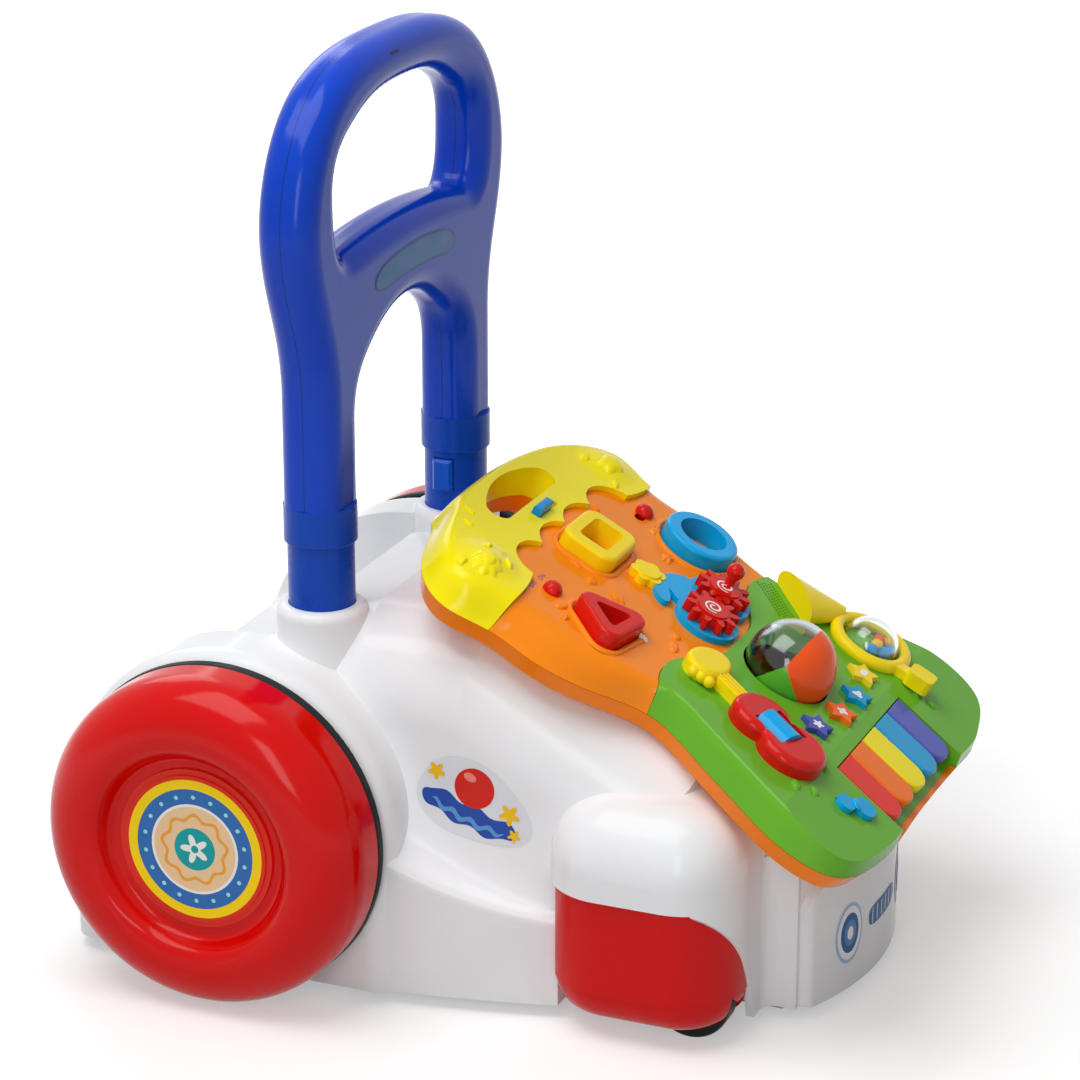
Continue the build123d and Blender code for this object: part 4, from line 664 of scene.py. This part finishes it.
# Loose beads in the clear dome and in the ball: place of each in the board's frame and its colour
beads = {"radius": 3.3, "waist": 0.1, "rough": 0.2, "peel": 0.03,
         "board": {"#1E9AD6": ((70.0, -176.5, 5.2), (76.5, -178.5, 5.2), (66.0, -171.0, 5.2)),
                   "#FFC21C": ((82.5, -175.5, 5.2), (73.0, -171.5, 5.4)), "#F0561C": ((79.0, -170.5, 5.2),)},
         "ball": {"#E8402A": ((-9.0, -141.0, -6.5), (-3.0, -149.0, -9.0)), "#2C7BD0": ((-12.0, -150.0, -4.0),),
                  "#FFC21C": ((4.0, -141.0, -8.5),)}}


def looseBeads(body):
    # turned bead: r(v) = R * (1 - waist * sin(v)^8) dimples both ends
    v, t = grid(np.linspace(-np.pi / 2, np.pi / 2, 15), around(24))
    r = beads["radius"] * (1 - beads["waist"] * np.sin(v) ** 8)
    for i, (colour, places) in enumerate(beads[body].items()):
        x, y, z = np.array(places).T[..., None, None]
        points = fromBoard(x + r * np.cos(v) * np.cos(t), y + r * np.cos(v) * np.sin(t), z + r * np.sin(v))
        name = f"mouldedPolystyreneBead{body.capitalize()}{i + 1}"
        finish = moulded(name, colour, beads["rough"], beads["peel"])
        putSurface(f"{body}Beads{i + 1}", points[:, ::-1], body, finish)


looseBeads("board")
looseBeads("ball")


# Twisted cords that hold the blocks, from each block's foot over a small hump into the board;
# block -> start x, y and direction
cords = {"radius": 1.05, "twist": 0.2, "lay": 3.2, "hump": 1.1, "top": 2.4, "low": -1.6, "run": 6.2,
         "inside": -0.5, "square_block": (19.0, -33.0, 1.0, 0.0), "triangle_block": (-53.0, -83.0, 0.6, -0.8),
         "round_block": (74.5, -83.6, 0.62, -0.78)}


def twistedCord(block):
    # two strands: tube r(u, v) = R * (1 + twist * cos(2 (v - 2 pi u L / lay))) round a path that rises and dips
    u, v = grid(np.linspace(0, 1, 30), around(20))
    x0, y0, dx, dy = cords[block]
    reach = cords["inside"] + cords["run"] * u
    up = cords["top"] + (cords["low"] - cords["top"]) * u + cords["hump"] * np.sin(np.pi * u)
    slope = np.arctan2(np.gradient(up, axis=0), np.gradient(reach, axis=0))
    r = cords["radius"] * (1 + cords["twist"] * np.cos(2 * (v - 2 * np.pi * u * cords["run"] / cords["lay"])))
    r[[0, -1]] = 0    # both ends close to a point, out of sight
    side, out = r * np.cos(v), r * np.sin(v)
    forward = reach - out * np.sin(slope)
    points = fromBoard(x0 + dx * forward - dy * side, y0 + dy * forward + dx * side, up + out * np.cos(slope))
    piece = putSurface(block + "Cord", points[:, ::-1], None, slots["white_cord"])
    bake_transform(piece)
    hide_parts("block_tethers")


for block in ("square_block", "triangle_block", "round_block"):
    twistedCord(block)


# Knot across the bow button's waist: its middle on the sloping front, whose own origin and fall follow
bowKnot = {"at": (-67.0, -25.0), "slopeAt": (-190.0, 1.6), "fall": 10.5, "long": 3.6, "wide": 2.3, "high": 1.5,
           "top": 2.9, "turn": 45}


def tieBow():
    # half an ellipsoid, turned on the slope and then tipped with it
    v, t = grid(np.linspace(0, np.pi / 2, 8), around(32))
    turn, fall = math.radians(bowKnot["turn"]), math.radians(bowKnot["fall"])
    p, q = bowKnot["long"] * np.sin(v) * np.cos(t), bowKnot["wide"] * np.sin(v) * np.sin(t)
    x = bowKnot["at"][0] + p * math.cos(turn) - q * math.sin(turn)
    along = bowKnot["at"][1] + p * math.sin(turn) + q * math.cos(turn)
    up = bowKnot["top"] + bowKnot["high"] * np.cos(v)
    y = bowKnot["slopeAt"][0] + along * math.cos(fall) - up * math.sin(fall)
    z = bowKnot["slopeAt"][1] + along * math.sin(fall) + up * math.cos(fall)
    putSurface("bowKnot", fromBoard(x, y, z), "bow_button", slots["blue_toy"])


# Slit in the front of the handle's top bar, drawn as a flat dark blue patch: painted shade of the slit's inside
slit = {"x": -20.0, "z": 449.0, "half": 4.6, "high": 0.75, "frontY": 40.0, "proud": 0.05, "boxPower": 6,
        "colour": "#04205E"}


def handleSlitPaintedShade():
    s, t = polarGrid(4, 32)
    box = s * squircle(t, slit["boxPower"])
    x, z = slit["x"] + slit["half"] * box * np.cos(t), slit["z"] + slit["high"] * box * np.sin(t)
    points = np.stack([x, np.full_like(x, slit["frontY"] + shiftY), z], -1) * mm
    # the flat dark patch is painted shade standing in for the slit
    piece = putSurface("handleSlitPaintedShade", points, "handle", inks("HandleSlitPaintedShade", slit["colour"]))
    pressOnto(piece, "handle_front_shell", "y", slit["proud"])


tieBow()
handleSlitPaintedShade()
print("beads, cords and trim done")


# Studio: the photograph's camera, a pale floor, soft lamps; lengths in metres, the paper's fibre in mm
studio = {"target": (0.0, shiftY * mm, 0.20316), "distance": 1.835, "azimuth": -67.17, "elevation": 19.67,
          "lens": 122.3, "sensor": 36, "ambient": 0.24, "floorHalf": 6.0, "floorColour": "#D2D2D2",
          "floorGlow": 0.40, "glowFrom": 0.25, "glowTo": 0.7, "fibre": 3, "fibreStrength": 0.05,
          "fibreDepth": 0.2}


def placeCamera(view):
    azimuth, elevation = math.radians(view["azimuth"]), math.radians(view["elevation"])
    flat = math.cos(elevation)
    back = Vector((math.sin(azimuth) * flat, -math.cos(azimuth) * flat, math.sin(elevation)))
    camera = bpy.data.objects.new("camera", bpy.data.cameras.new("camera"))
    camera.data.lens, camera.data.sensor_width = view["lens"], view["sensor"]
    camera.location = Vector(view["target"]) + back * view["distance"]
    camera.rotation_euler = (-back).to_track_quat("-Z", "Y").to_euler()
    bpy.context.scene.collection.objects.link(camera)
    bpy.context.scene.camera = camera


def seenDirectly(tree):
    # 1 for rays from the camera, and for those that reach the backdrop by a mirror or through clear plastic
    path = addNode(tree, "ShaderNodeLightPath")
    first = addNode(tree, "ShaderNodeMath", {"operation": "MAXIMUM"},
                    {0: path.outputs["Is Camera Ray"], 1: path.outputs["Is Glossy Ray"]})
    return addNode(tree, "ShaderNodeMath", {"operation": "MAXIMUM"},
                   {0: first.outputs["Value"], 1: path.outputs["Is Transmission Ray"]}).outputs["Value"]


def studioWorld(view):
    world = bpy.data.worlds.new("studio")
    world.use_nodes = True
    tree = world.node_tree
    tree.nodes.clear()
    level = addNode(tree, "ShaderNodeMapRange", {"To Min": view["ambient"], "To Max": 1.0},
                    {"Value": seenDirectly(tree)})
    light = addNode(tree, "ShaderNodeBackground", {"Color": (1, 1, 1, 1)},
                    {"Strength": level.outputs["Result"]})
    addNode(tree, "ShaderNodeOutputWorld", {}, {"Surface": light.outputs["Background"]})
    bpy.context.scene.world = world


def paleFloor(view):
    # a wide flat sheet of seamless paper; its own glow for the camera grows outwards from the part and keeps
    # the paper white round the shadow; the lower glow near the part is painted shade on the paper round the
    # part
    half = view["floorHalf"]
    mesh = bpy.data.meshes.new("floor")
    corners = [(-half, -half, 0), (half, -half, 0), (half, half, 0), (-half, half, 0)]
    mesh.from_pydata(corners, [], [(0, 1, 2, 3)])
    floor = bpy.data.objects.new("floor", mesh)
    bpy.context.scene.collection.objects.link(floor)
    material, tree, coords = newMaterial("seamlessPaperWhite")
    fibres = bumped(tree, noise(tree, coords, view["fibre"], 3), view["fibreStrength"], view["fibreDepth"])
    paper = addNode(tree, "ShaderNodeBsdfDiffuse", {"Color": linear(view["floorColour"])}, {"Normal": fibres})
    away = addNode(tree, "ShaderNodeVectorMath", {"operation": "LENGTH"}, {0: coords})
    # glow is lowest within glowFrom of the part and rises to 1 by glowTo: painted shade on the floor round the
    # part
    glowRampPaintedShade = addNode(tree, "ShaderNodeMapRange",
                   {"From Min": view["glowFrom"], "From Max": view["glowTo"], "To Min": view["floorGlow"],
                    "To Max": 1.0}, {"Value": away.outputs["Value"]})
    level = addNode(tree, "ShaderNodeMath", {"operation": "MULTIPLY"},
                    {0: glowRampPaintedShade.outputs["Result"], 1: seenDirectly(tree)})
    glow = addNode(tree, "ShaderNodeEmission", {}, {"Strength": level.outputs["Value"]})
    both = addNode(tree, "ShaderNodeAddShader", {}, {0: paper.outputs["BSDF"], 1: glow.outputs["Emission"]})
    addNode(tree, "ShaderNodeOutputMaterial", {}, {"Surface": both.outputs["Shader"]})
    mesh.materials.append(material)


# name -> place (m), aimed at, width and height (m), watts
lamps = {"overhead": ((-0.5, 0.3, 1.9), (0, 0, 0.15), 1.3, 1.3, 25),
         "key": ((-1.9, -0.4, 0.9), (0, 0, 0.2), 0.4, 1.2, 8.5),
         "rim": ((1.3, 1.3, 1.3), (0, 0, 0.25), 0.9, 0.9, 5)}


def softLamps(table):
    for name, (place, aim, wide, high, watts) in table.items():
        lamp = bpy.data.lights.new(name, "AREA")
        lamp.shape, lamp.size, lamp.size_y, lamp.energy = "RECTANGLE", wide, high, watts
        holder = bpy.data.objects.new(name, lamp)
        holder.location = place
        holder.rotation_euler = (Vector(aim) - Vector(place)).to_track_quat("-Z", "Y").to_euler()
        bpy.context.scene.collection.objects.link(holder)


placeCamera(studio)
studioWorld(studio)
paleFloor(studio)
softLamps(lamps)
bpy.context.scene.view_settings.view_transform = "Standard"
print("studio ready")
